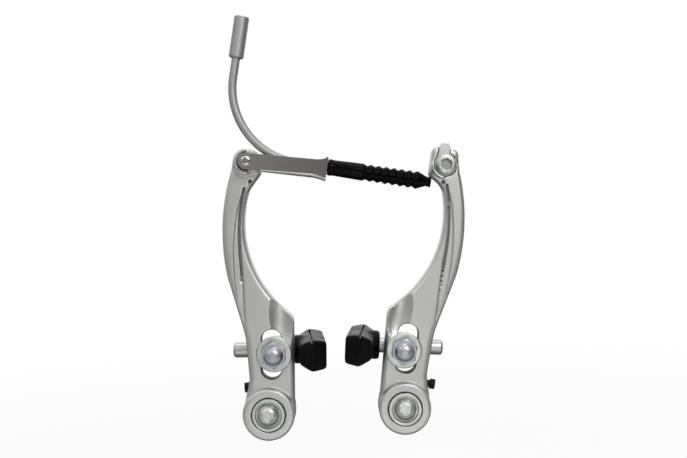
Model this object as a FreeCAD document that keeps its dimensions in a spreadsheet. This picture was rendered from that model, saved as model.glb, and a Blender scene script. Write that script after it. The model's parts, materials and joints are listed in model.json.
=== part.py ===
"""Linear-pull rim brake of a bicycle: two cast arms with their pivots, shoes and cable guide.

Millimetres and degrees. The origin is on the left pivot axis, in the plane where the pivot bushes seat on the
bicycle's bosses. +X runs towards the right arm, +Z up and +Y back towards the bicycle. A depth is measured forwards
from the seat plane, so a depth d lies at Y = -d. Arm outlines are drawn with x towards the other arm and z from the
pivot towards the head, and the right arm is the mirror image of the left one.
"""
import FreeCAD, Part
import math
import os

import Sketcher
from FreeCAD import Placement, Rotation, Vector

SIZES = (
    # Where the two halves stand
    ("boss_spacing", 58.7, "left pivot axis to right pivot axis"),
    ("left_lean", 2.8, "left arm's outward lean at rest"),
    ("right_lean", 12.2, "right arm's outward lean at rest"),
    # Fits
    ("running_gap", 0.03, "radial play of a turning fit"),
    ("slide_gap", 0.1, "play between flat faces that slide"),
    ("clear_gap", 0.3, "play between pieces that pass each other"),
    ("cut_start", 0.5, "how far in front of a face its cuts begin"),
    # Pivot bush, mounting bolt and its washer
    ("bush_length", 24.0, "pivot bush along the axis"),
    ("bush_radius", 5.5, "bearing radius of the bush"),
    ("stud_radius", 4.0, "bore for the bicycle's stud"),
    ("seat_length", 10.0, "bore length that the stud fills first"),
    ("relief_length", 2.0, "grease relief in the bore"),
    ("relief_depth", 0.4, "depth of the grease relief"),
    ("washer_radius", 7.0, "washer under the mounting bolt"),
    ("washer_thick", 1.2, "thickness of that washer"),
    ("washer_cup", 5.7, "inside of the washer's raised rim"),
    ("washer_rim", 1.3, "height of that rim"),
    ("bolt_radius", 3.0, "M6 thread"),
    ("bolt_length", 11.5, "mounting bolt under its head"),
    ("bolt_head_radius", 4.7, "domed head"),
    ("bolt_rim_height", 1.6, "straight side of the domed head"),
    ("bolt_head_height", 5.0, "whole domed head"),
    ("socket_width", 5.0, "hexagon socket across its flats"),
    ("socket_depth", 2.4, "hexagon socket's depth"),
    # Arm casting
    ("boss_radius", 11.2, "pivot boss"),
    ("boss_back", 9.2, "depth of the boss's back"),
    ("boss_front", 25.9, "depth of the boss's front"),
    ("boss_round", 1.2, "rounding of the boss's front edge"),
    ("recess_radius", 7.4, "recess for the bolt's washer"),
    ("arm_back", 15.2, "depth of the arm's back"),
    ("arm_thick", 7.6, "thickness of the arm"),
    ("edge_round", 2.1, "rounding of the arm's front edges"),
    ("waist_outer", 7.1, "outer edge of the slotted body"),
    ("waist_low", 15.5, "where the slotted body leaves the boss"),
    ("waist_high", 34.0, "where the outer edge starts to bow"),
    ("bow_low_x", 12.5, "start of the outer bow"),
    ("bow_low_z", 60.0, "height of that start"),
    ("bow_radius", 90.0, "outer bow"),
    ("bow_blend", 40.0, "blend into the outer bow"),
    ("inner_high_x", 0.2, "top of the inner curve"),
    ("inner_high_z", 97.2, "height of that top"),
    ("inner_radius", 49.5, "inner curve round the tyre"),
    ("curve_blend", 8.0, "blend at the waist and under the head"),
    ("shoulder_x", 14.4, "shoulder at the foot of the inner curve"),
    ("shoulder_z", 40.8, "height of the shoulder"),
    ("shoulder_blend", 4.0, "rounded shoulder"),
    ("neck_blend", 2.5, "head's rounded lower corner"),
    ("head_cheek", 2.0, "head's outer side starts so far below its centre"),
    ("head_taper", 0.68, "head's outer top corner, as a share of its radius"),
    ("left_head_x", -0.3, "left head's centre"),
    ("left_head_z", 108.5, "height of that centre"),
    ("left_head_radius", 6.35, "left head"),
    ("left_head_blend", 4.5, "left head's rounded top corners"),
    ("left_neck_z", 104.0, "height of the left head's lower corner"),
    ("left_pit_x", 1.2, "small pit under the left head"),
    ("left_pit_z", 100.6, "height of that pit"),
    ("right_head_x", 0.35, "right head's centre"),
    ("right_head_z", 107.1, "height of that centre"),
    ("right_head_radius", 6.6, "right head"),
    ("right_head_blend", 2.4, "right head's rounded top corners"),
    ("right_neck_z", 101.2, "height of the right head's lower corner"),
    ("right_pit_x", 0.0, "small pit under the right head"),
    ("right_pit_z", 98.8, "height of that pit"),
    ("pit_radius", 0.9, "pit under a head"),
    ("pit_depth", 2.0, "depth of that pit"),
    ("dish_x", 9.4, "dish above the slot, beside the shoulder"),
    ("dish_z", 41.0, "height of the dish's middle"),
    ("dish_half_width", 6.0, "dish's half width"),
    ("dish_half_height", 14.0, "dish's half height"),
    ("dish_bulge", 4.0, "dish's half thickness"),
    ("dish_depth", 2.3, "depth of the dish in the arm's front"),
    # Channel and groove in the upper arm's front
    ("channel_depth", 0.7, "depth of the channel's floor"),
    ("groove_depth", 2.4, "depth of the narrow groove beside the inner rib"),
    ("groove_width", 1.1, "width of that groove"),
    ("groove_top", 98.6, "upper end of that groove"),
    ("groove_top_x", 0.9, "groove's inner edge at its upper end"),
    ("channel_top", 97.5, "upper end of the channel's inner edge"),
    ("channel_outer_top", 90.0, "upper end of the channel's outer edge"),
    ("channel_outer_x", 5.3, "outer rib's edge at the upper end"),
    ("channel_inner_x", 2.1, "inner rib's edge at the upper end"),
    ("channel_inner_radius", 98.0, "curve of the inner rib's edge"),
    ("channel_knee_x", 5.5, "inner rib's edge where it runs straight"),
    ("channel_knee_z", 66.0, "height of that place"),
    ("channel_tip_x", 6.6, "pointed lower end"),
    ("channel_tip_z", 38.0, "height of the lower end"),
    ("channel_low_x", 8.9, "outer rib's edge low down"),
    ("channel_low_z", 50.0, "height of that place"),
    ("channel_outer_radius", 108.0, "curve of the outer rib's edge"),
    # Slot for the shoe
    ("slot_x", 3.4, "slot's centre"),
    ("slot_z", 25.4, "height of the slot's centre"),
    ("slot_half", 6.3, "slot's centre to the centre of its round end"),
    ("slot_radius", 4.4, "half of the slot's width"),
    ("slot_tilt", 5.0, "slot's lean towards the rim at its top"),
    ("left_slot_place", 0.25, "left shoe above the slot's centre"),
    ("right_slot_place", -0.8, "right shoe above the slot's centre"),
    ("left_slot_side", 1.2, "left shoe's place across the slot, towards the rim"),
    ("right_slot_side", 1.3, "right shoe's place across the slot, towards the rim"),
    # Spring, its holder, its pin and the tension screw
    ("holder_radius", 10.6, "spring holder"),
    ("holder_wall", 1.7, "wall round the coil"),
    ("holder_back", 0.6, "depth of the holder's back"),
    ("holder_floor", 3.2, "depth of the floor under the coil"),
    ("wire_radius", 0.9, "spring wire"),
    ("coil_radius", 7.3, "spring coil, to the middle of the wire"),
    ("coil_turns", 2.0, "turns of the coil"),
    ("leg_depth", 13.4, "depth of the spring's leg behind the arm"),
    ("leg_x", 6.4, "leg's place towards the outer edge"),
    ("leg_leave", 11.0, "height where the leg turns forwards"),
    ("leg_settle", 19.0, "height where the leg turns up the arm"),
    ("leg_top", 66.0, "height of the leg's end"),
    ("leg_bend", 6.0, "bends of the leg"),
    ("pin_radius", 1.2, "stop pin of the spring"),
    ("pin_z", 62.0, "height of the stop pin"),
    ("pin_embed", 3.0, "pin's length in the arm"),
    ("pin_tip", 11.8, "depth of the pin's free end"),
    ("screw_radius", 1.5, "tension screw's thread"),
    ("screw_head_radius", 2.2, "tension screw's head"),
    ("screw_head_length", 2.2, "length of that head"),
    ("screw_head_x", 11.4, "outer end of the head"),
    ("screw_length", 8.0, "tension screw under its head"),
    ("screw_travel", 2.4, "room to turn the tension screw in"),
    ("screw_seat_x", 7.4, "flat seat that stops the screw's head"),
    ("left_screw_in", 1.6, "left screw turned in so far"),
    ("right_screw_in", 0.0, "right screw turned in so far"),
    ("screw_z", 11.6, "height of the tension screw"),
    ("screw_depth", 18.4, "depth of the tension screw"),
    ("driver_slot", 0.8, "slot for a driver"),
    # Eye bolt, its washers and cap nut
    ("eye_radius", 5.8, "eye bolt's round head"),
    ("post_depth", 6.6, "depth of the shoe post's axis"),
    ("rear_washer_radius", 6.6, "washer behind the arm"),
    ("front_washer_radius", 7.7, "washer in front of the arm"),
    ("front_washer_thick", 1.6, "thickness of the front washer"),
    ("nut_width", 10.0, "cap nut across its flats"),
    ("nut_height", 4.6, "hexagon of the cap nut"),
    ("nut_dome_radius", 4.3, "dome of the cap nut"),
    ("nut_dome_rise", 3.4, "height of the dome"),
    ("nut_bore_depth", 6.0, "threaded depth in the cap nut"),
    # Shoe
    ("post_radius", 3.4, "smooth post"),
    ("left_tail", 19.15, "eye to the left post's far end"),
    ("right_tail", 18.2, "eye to the right post's far end"),
    ("left_reach", 21.5, "eye to the left block's braking face"),
    ("right_reach", 24.2, "eye to the right block's braking face"),
    ("left_shoe_tilt", 1.8, "left post's fall towards the right"),
    ("right_shoe_tilt", 4.8, "right post's fall towards the right"),
    ("block_length", 52.0, "brake block along the rim"),
    ("block_thick", 11.7, "block from its back to its braking face"),
    ("block_ridge", 5.3, "block's back to its widest place"),
    ("block_back_half", 4.2, "half height at the back"),
    ("block_mid_half", 6.9, "half height at the widest place"),
    ("block_face_half", 6.0, "half height of the braking face"),
    ("block_toe", 3.5, "front end's turn towards the rim"),
    ("nose_back", 5.4, "taper of the nose on the back"),
    ("nose_face", 3.6, "taper of the nose on the braking face"),
    ("block_neck_radius", 6.5, "rubber neck round the post"),
    ("block_neck_length", 2.6, "length of the neck"),
    ("post_embed", 7.0, "post's length in the rubber"),
    ("rain_groove_width", 1.4, "groove across the braking face"),
    ("rain_groove_depth", 2.0, "depth of that groove"),
    ("rain_groove_y", 11.0, "grooves' distance from the post"),
    # Cable guide on the left head, drawn with x along the boot and z along the ferrule
    ("guide_tilt", 10.8, "boot's fall towards the right"),
    ("guide_radius", 32.0, "bend of the guide tube"),
    ("guide_rivet_x", 10.6, "ferrule's axis to the rivet"),
    ("guide_rivet_z", 2.55, "boot's axis above the rivet"),
    ("tube_radius", 1.8, "guide tube"),
    ("tube_bore", 1.2, "bore of the guide tube"),
    ("liner_bore", 0.8, "bore of the plastic liner"),
    ("tube_tip", 5.8, "tube's length past the carrier"),
    ("tube_top", 50.0, "tube's end in the ferrule"),
    ("ferrule_radius", 3.2, "ferrule"),
    ("ferrule_low", 40.4, "lower end of the ferrule"),
    ("ferrule_top", 58.1, "upper end of the ferrule"),
    ("casing_radius", 2.6, "socket for the cable's casing"),
    ("casing_depth", 7.0, "depth of that socket"),
    ("ferrule_round", 0.5, "chamfer of the ferrule's ends"),
    ("rivet_x", 0.7, "rivet on the left head"),
    ("rivet_z", 109.1, "height of the rivet"),
    ("rivet_radius", 1.5, "rivet's shank"),
    ("rivet_head_radius", 2.1, "rivet's head"),
    ("rivet_head_height", 0.9, "height of that head"),
    ("rivet_embed", 5.0, "rivet's length in the casting"),
    ("link_seat", 1.2, "seat under the carrier, proud of the arm"),
    ("link_seat_radius", 5.0, "that seat"),
    ("hood_height", 3.4, "raised wall round the carrier's end"),
    ("hood_inner", 4.2, "inside of the raised wall"),
    ("hood_outer", 5.6, "outside of the raised wall"),
    ("carrier_end_radius", 3.4, "carrier's round end"),
    ("carrier_length", 45.3, "ferrule's axis to the carrier's far end"),
    ("carrier_high", 2.4, "carrier's upper edge over the boot's axis, where its end starts to flare"),
    ("carrier_low", 5.4, "carrier's lower edge under the boot's axis, at the same place"),
    ("carrier_fold_low", 6.1, "lower edge under the boot's axis where the folded floor starts"),
    ("carrier_notch", 5.2, "lower edge under the boot's axis between the round end and the floor"),
    ("carrier_flare_length", 5.8, "length of the flared end"),
    ("carrier_flare_high", 4.1, "upper corner of the flared end over the boot's axis"),
    ("carrier_flare_low", 6.3, "lower corner of the flared end under the boot's axis"),
    ("carrier_flare_rise", 11.5, "curve of the flare's upper edge"),
    ("carrier_flare_fall", 20.0, "curve of the flare's lower edge"),
    ("carrier_sheet", 0.9, "sheet of the folded carrier"),
    ("carrier_gap", 4.6, "room between the carrier's two walls"),
    ("carrier_web_start", 17.6, "where the folded floor starts"),
    # Rubber boot
    ("boot_mouth_radius", 3.35, "boot's mouth at the carrier"),
    ("boot_bead_radius", 3.6, "bead round the mouth"),
    ("boot_bead_length", 1.2, "mouth to the bead, and the bead's far slope"),
    ("boot_sleeve_length", 15.1, "smooth part of the boot"),
    ("boot_sleeve_radius", 3.7, "far end of the smooth part"),
    ("boot_ridges", 7.0, "bellows ridges"),
    ("boot_pitch", 3.3, "ridge to ridge"),
    ("boot_ridge_radius", 3.62, "first ridge"),
    ("boot_last_radius", 3.77, "last ridge"),
    ("boot_valley_radius", 2.9, "between ridges"),
    ("boot_cone_length", 4.3, "cone after the last ridge"),
    ("boot_neck_radius", 2.0, "narrow end of the cone"),
    ("boot_tip_radius", 2.4, "boot's flared tip"),
    ("boot_tip_length", 1.9, "length of the tip"),
    ("boot_bore", 1.2, "bore for the cable"),
    # Cable clamp on the right head
    ("anchor_x", 0.2, "anchor bolt on the right head"),
    ("anchor_z", 106.5, "height of the anchor bolt"),
    ("clamp_recess_radius", 5.1, "recess for the clamp washer"),
    ("clamp_recess_depth", 1.5, "depth of that recess"),
    ("clamp_radius", 4.8, "clamp washer"),
    ("clamp_thick", 1.5, "thickness of the clamp washer"),
    ("clamp_lip", 1.2, "raised wall beside the clamp washer"),
    ("clamp_lip_outer", 6.2, "outside of that wall"),
    ("tab_half_width", 2.3, "half width of the washer's tab"),
    ("tab_tip_half", 1.4, "half width of the tab's end"),
    ("tab_shift", 1.6, "tab's place towards the left arm"),
    ("tab_rise", 9.2, "tab's end above the bolt"),
    ("anchor_head_radius", 4.4, "anchor bolt's head"),
    ("anchor_head_height", 2.8, "height of that head"),
    ("anchor_rim_height", 1.4, "straight side of that head"),
    ("anchor_socket_width", 4.6, "hexagon socket of the anchor bolt"),
    ("anchor_socket_depth", 1.8, "depth of that socket"),
    ("anchor_embed", 6.6, "thread in the casting"),
)

doc = FreeCAD.newDocument("rim_brake")
sheet = doc.addObject("Spreadsheet::Sheet", "Sizes")
for row, (alias, value, note) in enumerate(SIZES, start=1):
    sheet.set(f"A{row}", note)
    sheet.set(f"B{row}", str(value))
    sheet.setAlias(f"B{row}", alias)
doc.recompute()


class Dim:
    """A number together with the spreadsheet formula that gives it."""

    def __init__(self, value, text=None):
        self.value = float(value)
        self.text = text if text is not None else repr(float(value))

    def __add__(self, other):
        other = as_dim(other)
        return Dim(self.value + other.value, f"({self.text} + {other.text})")

    def __sub__(self, other):
        other = as_dim(other)
        return Dim(self.value - other.value, f"({self.text} - {other.text})")

    def __mul__(self, other):
        other = as_dim(other)
        return Dim(self.value * other.value, f"({self.text} * {other.text})")

    def __truediv__(self, other):
        other = as_dim(other)
        return Dim(self.value / other.value, f"({self.text} / {other.text})")

    def __neg__(self):
        return Dim(-self.value, f"(-{self.text})")


def as_dim(number):
    return number if isinstance(number, Dim) else Dim(number)


class Sizes:
    """Looks a size up in the spreadsheet by its alias."""

    def __getattr__(self, alias):
        return Dim(sheet.get(alias), f"Sizes.{alias}")


size = Sizes()


def sine(angle):
    return Dim(math.sin(math.radians(angle.value)), f"sin({angle.text} * 1 deg)")


def cosine(angle):
    return Dim(math.cos(math.radians(angle.value)), f"cos({angle.text} * 1 deg)")


def turn(x, z, angle):
    """A point turned about the origin from z towards x."""
    return x * cosine(angle) + z * sine(angle), z * cosine(angle) - x * sine(angle)


# Drawing and feature helpers


def new_body(label):
    body = doc.addObject("PartDesign::Body", label)
    body.Label = label
    return body


def bind(thing, path, formula):
    thing.setExpression(path, as_dim(formula).text)


def place(thing, x, y, z, angle):
    """Puts a piece at a point, turned about Y."""
    x, y, z, angle = (as_dim(number) for number in (x, y, z, angle))
    thing.Placement = Placement(
        Vector(x.value, y.value, z.value), Rotation(Vector(0, 1, 0), angle.value)
    )
    bind(thing, "Placement.Base.x", x)
    bind(thing, "Placement.Base.y", y)
    bind(thing, "Placement.Base.z", z)
    bind(thing, "Placement.Rotation.Angle", angle)


def sketch_on(body, role, offset):
    """A sketch on one of the body's own planes, moved along that plane's normal."""
    offset = as_dim(offset)
    sketch = body.newObject("Sketcher::SketchObject", f"{body.Label}_sketch")
    origin_plane = next(item for item in body.Origin.OriginFeatures if item.Role == role)
    sketch.AttachmentSupport = [(origin_plane, "")]
    sketch.MapMode = "FlatFace"
    sketch.AttachmentOffset = Placement(Vector(0, 0, offset.value), Rotation())
    bind(sketch, "AttachmentOffset.Base.z", offset)
    return sketch


def front_sketch(body, depth):
    """A sketch seen from the front at a depth. A pad from it comes forwards, a pocket goes back."""
    return sketch_on(body, "XZ_Plane", depth)


def dimension(sketch, constraint, formula):
    index = sketch.addConstraint(constraint)
    bind(sketch, f"Constraints[{index}]", formula)


def pin_point(sketch, edge, end, x, z):
    dimension(sketch, Sketcher.Constraint("DistanceX", -1, 1, edge, end, x.value), x)
    dimension(sketch, Sketcher.Constraint("DistanceY", -1, 1, edge, end, z.value), z)


def add_edge(sketch, start, finish, bend):
    """A line, or an arc whose bend is its radius: positive turns left. Returns the edge and its two end numbers."""
    first = Vector(start[0].value, start[1].value, 0)
    last = Vector(finish[0].value, finish[1].value, 0)
    if bend is None:
        return sketch.addGeometry(Part.LineSegment(first, last), False), 1, 2
    radius = abs(bend.value)
    chord = last - first
    side = math.copysign(1.0, bend.value)
    rise = math.sqrt(max(radius**2 - (chord.Length / 2) ** 2, 0.0))
    centre = (first + last) * 0.5 + Vector(-chord.y, chord.x, 0).normalize() * rise * side
    angles = [math.atan2(end.y - centre.y, end.x - centre.x) for end in (first, last)]
    if side < 0:
        angles.reverse()
    circle = Part.Circle(centre, Vector(0, 0, 1), radius)
    edge = sketch.addGeometry(Part.ArcOfCircle(circle, *angles), False)
    dimension(sketch, Sketcher.Constraint("Radius", edge, radius), bend * side)
    return (edge, 1, 2) if side > 0 else (edge, 2, 1)


def draw(sketch, corners, closed=True):
    """Joins corners (x, z) or (x, z, bend of the edge that starts there) into one outline."""
    corners = [tuple(as_dim(number) for number in corner) for corner in corners]
    follow = corners[1:] + corners[:1]
    if not closed:
        follow.pop()
    edges = []
    for corner, after in zip(corners, follow):
        edges.append(add_edge(sketch, corner, after, corner[2] if len(corner) > 2 else None))
    for number, (edge, begin, end) in enumerate(edges):
        pin_point(sketch, edge, begin, corners[number][0], corners[number][1])
        if number + 1 < len(edges) or closed:
            after, after_begin, _ = edges[(number + 1) % len(edges)]
            sketch.addConstraint(Sketcher.Constraint("Coincident", edge, end, after, after_begin))
        else:
            pin_point(sketch, edge, end, corners[-1][0], corners[-1][1])


def draw_circle(sketch, x, z, radius):
    x, z = as_dim(x), as_dim(z)
    circle = Part.Circle(Vector(x.value, z.value, 0), Vector(0, 0, 1), radius.value)
    edge = sketch.addGeometry(circle, False)
    pin_point(sketch, edge, 3, x, z)
    dimension(sketch, Sketcher.Constraint("Radius", edge, radius.value), radius)


def hexagon(width, x=0.0, z=0.0):
    """Corners of a hexagon that is so wide across its flats."""
    reach = width / math.sqrt(3.0)
    spokes = [math.radians(60.0 * number + 30.0) for number in range(6)]
    return [(reach * math.cos(spoke) + x, reach * math.sin(spoke) + z) for spoke in spokes]


def mirrored(corners, sign):
    """The same outline for the left arm (sign 1) or the right arm (sign -1)."""
    flipped = []
    for corner in corners:
        numbers = [as_dim(number) for number in corner]
        numbers[0] = numbers[0] * sign
        if len(numbers) > 2:
            numbers[2] = numbers[2] * sign
        flipped.append(tuple(numbers))
    return flipped


def feature(body, kind, sketch):
    made = body.newObject(f"PartDesign::{kind}", f"{body.Label}_{kind.lower()}")
    made.Profile = sketch
    return made


def pad(body, sketch, length):
    made = feature(body, "Pad", sketch)
    bind(made, "Length", length)
    return made


def pocket(body, sketch, length, flipped=False):
    """Cuts against the sketch's normal, or along it when flipped."""
    made = feature(body, "Pocket", sketch)
    made.Reversed = flipped
    bind(made, "Length", length)
    return made


def cut_both_ways(body, sketch, length):
    made = pocket(body, sketch, length)
    made.Midplane = True
    return made


def spin(body, axis, corners):
    """Turns a profile about an axis of the body. About X a corner is (along, radius), else (radius, along)."""
    sketch = sketch_on(body, "XY_Plane" if axis == "Y" else "XZ_Plane", 0.0)
    draw(sketch, corners)
    made = feature(body, "Revolution", sketch)
    made.ReferenceAxis = (sketch, ["H_Axis" if axis == "X" else "V_Axis"])
    return made


def turned(label, axis, corners):
    body = new_body(label)
    spin(body, axis, corners)
    return body


def round_edges(body, radius, wanted):
    """Fillets the edges of the body's last feature for which wanted(edge) holds."""
    doc.recompute()
    base = body.Tip
    names = [
        f"Edge{number}" for number, edge in enumerate(base.Shape.Edges, start=1) if wanted(edge)
    ]
    made = body.newObject("PartDesign::Fillet", f"{body.Label}_fillet")
    made.Base = (base, names)
    bind(made, "Radius", radius)
    return made


def lies_at_depth(depth):
    """Tells whether an edge lies in the plane at a depth."""

    def wanted(edge):
        box = edge.BoundBox
        return abs(box.YMin + depth.value) < 1e-4 and abs(box.YMax + depth.value) < 1e-4

    return wanted


def stands_at(spots):
    """Tells whether an edge runs along Y through one of the spots (x, z)."""

    def wanted(edge):
        box = edge.BoundBox
        if box.XLength > 1e-4 or box.ZLength > 1e-4:
            return False
        return any(math.hypot(box.XMin - x, box.ZMin - z) < 1e-3 for x, z in spots)

    return wanted


# The two sides of the brake


class Side:
    """What differs between the left and the right half."""

    def __init__(self, name, sign, pivot_x):
        self.name = name
        self.sign = sign
        self.pivot_x = as_dim(pivot_x)
        self.lean = getattr(size, f"{name}_lean")
        self.head_x = getattr(size, f"{name}_head_x")
        self.head_z = getattr(size, f"{name}_head_z")
        self.head_radius = getattr(size, f"{name}_head_radius")
        self.head_blend = getattr(size, f"{name}_head_blend")
        self.neck_z = getattr(size, f"{name}_neck_z")
        self.pit_x = getattr(size, f"{name}_pit_x")
        self.pit_z = getattr(size, f"{name}_pit_z")
        self.slot_place = getattr(size, f"{name}_slot_place")
        self.slot_side = getattr(size, f"{name}_slot_side")
        self.screw_in = getattr(size, f"{name}_screw_in")
        self.reach = getattr(size, f"{name}_reach")
        self.tail = getattr(size, f"{name}_tail")
        self.shoe_tilt = getattr(size, f"{name}_shoe_tilt")
        self.angle = self.lean * -sign

    def label(self, piece):
        return f"{self.name}_{piece}"

    def point(self, x, z):
        """Where a point of the arm's outline stands in the brake's frame."""
        across, up = turn(as_dim(x) * self.sign, as_dim(z), self.angle)
        return self.pivot_x + across, up

    def put(self, body, x, depth, z):
        """Places a piece on the arm, leaning with it."""
        across, up = self.point(x, z)
        place(body, across, -as_dim(depth), up, self.angle)

    def slot_point(self):
        """Arm point where the eye bolt stands in the slot."""
        lean_sine, lean_cosine = sine(size.slot_tilt), cosine(size.slot_tilt)
        return (
            size.slot_x + self.slot_place * lean_sine + self.slot_side * lean_cosine,
            size.slot_z + self.slot_place * lean_cosine - self.slot_side * lean_sine,
        )


LEFT = Side("left", 1, 0.0)
RIGHT = Side("right", -1, size.boss_spacing)

ARM_FRONT = size.arm_back + size.arm_thick
EYE_FRONT = size.post_depth + size.eye_radius
GUIDE_DEPTH = (
    ARM_FRONT
    + size.link_seat
    + size.clear_gap
    + size.carrier_sheet
    + size.carrier_gap / 2
)
CARRIER_BACK = ARM_FRONT + size.link_seat + size.clear_gap
CARRIER_FRONT = CARRIER_BACK + size.carrier_sheet * 2 + size.carrier_gap


# Pieces round each pivot


def make_bush(side):
    relief_start = size.seat_length + size.relief_length
    corners = [
        (size.stud_radius, 0.0),
        (size.bush_radius, 0.0),
        (size.bush_radius, -size.bush_length),
        (size.stud_radius, -size.bush_length),
        (size.stud_radius, -relief_start),
        (size.stud_radius + size.relief_depth, -relief_start),
        (size.stud_radius + size.relief_depth, -size.seat_length),
        (size.stud_radius, -size.seat_length),
    ]
    body = turned(side.label("pivot_bush"), "Y", corners)
    place(body, side.pivot_x, 0.0, 0.0, side.angle)


def make_bolt_washer(side):
    front = size.bush_length + size.washer_thick
    hole = size.bolt_radius + size.clear_gap
    corners = [
        (hole, -size.bush_length),
        (size.washer_radius, -size.bush_length),
        (size.washer_radius, -(front + size.washer_rim)),
        (size.washer_cup, -(front + size.washer_rim)),
        (size.washer_cup, -front),
        (hole, -front),
    ]
    body = turned(side.label("bolt_washer"), "Y", corners)
    place(body, side.pivot_x, 0.0, 0.0, side.angle)


def domed_bolt(label, radius, tip, seat, head_radius, rim, height, socket_width, socket_depth):
    """A socket bolt from its tip's depth to its domed head, which seats at a depth."""
    crown = head_radius - (height - rim)
    corners = [
        (0.0, -tip),
        (radius, -tip),
        (radius, -seat),
        (head_radius, -seat),
        (head_radius, -(seat + rim), rim - height),
        (crown, -(seat + height)),
        (0.0, -(seat + height)),
    ]
    body = turned(label, "Y", corners)
    socket = front_sketch(body, seat + height)
    draw(socket, hexagon(socket_width))
    pocket(body, socket, socket_depth)
    return body


def make_mounting_bolt(side):
    seat = size.bush_length + size.washer_thick
    body = domed_bolt(
        side.label("mounting_bolt"),
        size.bolt_radius,
        seat - size.bolt_length,
        seat,
        size.bolt_head_radius,
        size.bolt_rim_height,
        size.bolt_head_height,
        size.socket_width,
        size.socket_depth,
    )
    place(body, side.pivot_x, 0.0, 0.0, side.angle)


def make_spring_holder(side):
    bore = size.bush_radius + size.running_gap
    inside = size.holder_radius - size.holder_wall
    front = size.boss_back - size.clear_gap
    corners = [
        (bore, -size.holder_back),
        (size.holder_radius, -size.holder_back),
        (size.holder_radius, -front),
        (inside, -front),
        (inside, -size.holder_floor),
        (bore, -size.holder_floor),
    ]
    body = turned(side.label("spring_holder"), "Y", corners)
    window = front_sketch(body, front)
    near = size.coil_radius - size.wire_radius * 3
    far = size.holder_radius + size.wire_radius
    draw(window, mirrored([(-near, 0.0), (-far, 0.0), (-far, far), (-near, far)], side.sign))
    pocket(body, window, front - size.holder_floor)
    place(body, side.pivot_x, 0.0, 0.0, side.angle)


def rounded_path(points, radius):
    """Edges along points, with an arc of one radius at each inner point."""
    edges = []
    start = points[0]
    for before, corner, after in zip(points, points[1:], points[2:]):
        back = (before - corner).normalize()
        ahead = (after - corner).normalize()
        half = back.getAngle(ahead) / 2
        reach = radius / math.tan(half)
        middle = (back + ahead).normalize() * (radius / math.sin(half) - radius)
        arc = Part.Arc(corner + back * reach, corner + middle, corner + ahead * reach)
        edges.append(Part.LineSegment(start, corner + back * reach).toShape())
        edges.append(arc.toShape())
        start = corner + ahead * reach
    edges.append(Part.LineSegment(start, points[-1]).toShape())
    return edges


def make_return_spring(side):
    """One wire: a coil that starts at the holder's floor, then a leg up the back of the arm."""
    wire = size.wire_radius.value
    radius = size.coil_radius.value
    back = size.holder_floor.value + size.slide_gap.value + wire
    front = size.boss_back.value - size.clear_gap.value - size.slide_gap.value - wire
    turns = size.coil_turns.value
    pitch = (front - back) / turns
    coil = Part.makeHelix(pitch, front - back, radius, 0.0, True)
    coil.Placement = Placement(Vector(0, -front, 0), Rotation(Vector(0, 1, 0), 180)).multiply(
        Placement(Vector(), Rotation(Vector(1, 0, 0), -90))
    )
    leave = Vector(-radius, -front, 0)
    fall = pitch / (2 * math.pi * radius)
    rise = size.leg_leave.value
    settle_x = -size.leg_x.value
    settle_y = -size.leg_depth.value
    route = [
        Vector(settle_x, settle_y, size.leg_top.value),
        Vector(settle_x, settle_y, size.leg_settle.value),
        leave + Vector(0, -fall * rise, rise),
        leave,
    ]
    path = Part.Wire(rounded_path(route, size.leg_bend.value) + coil.Edges)
    section = Part.Wire(Part.Circle(route[0], Vector(0, 0, 1), wire).toShape())
    shape = path.makePipeShell([section], True, False)
    if side.sign < 0:
        shape = shape.mirror(Vector(), Vector(1, 0, 0))
    spring = doc.addObject("Part::Feature", side.label("return_spring"))
    spring.Label = side.label("return_spring")
    spring.Shape = shape
    place(spring, side.pivot_x, 0.0, 0.0, side.angle)


def spring_pin_x():
    """The pin stands just outside the spring's leg."""
    return -(size.leg_x + size.wire_radius + size.slide_gap + size.pin_radius)


def make_spring_pin(side):
    corners = [
        (0.0, -size.pin_tip),
        (size.pin_radius, -size.pin_tip),
        (size.pin_radius, -(size.arm_back + size.pin_embed)),
        (0.0, -(size.arm_back + size.pin_embed)),
    ]
    body = turned(side.label("spring_pin"), "Y", corners)
    side.put(body, spring_pin_x(), 0.0, size.pin_z)


def make_tension_screw(side):
    neck = size.screw_head_x - size.screw_head_length
    corners = [
        (-size.screw_head_x, 0.0),
        (-size.screw_head_x, size.screw_head_radius),
        (-neck, size.screw_head_radius),
        (-neck, size.screw_radius),
        (size.screw_length - neck, size.screw_radius),
        (size.screw_length - neck, 0.0),
    ]
    body = turned(side.label("tension_screw"), "X", mirrored(corners, side.sign))
    notch = sketch_on(body, "XY_Plane", 0.0)
    inner = size.screw_head_x - size.screw_head_length / 2
    half = size.driver_slot / 2
    outer = size.screw_head_x + size.driver_slot
    draw(notch, mirrored([(-outer, -half), (-outer, half), (-inner, half), (-inner, -half)], side.sign))
    cut_both_ways(body, notch, size.screw_head_radius * 4)
    side.put(body, side.screw_in, size.screw_depth, size.screw_z)


# Arm casting


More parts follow.
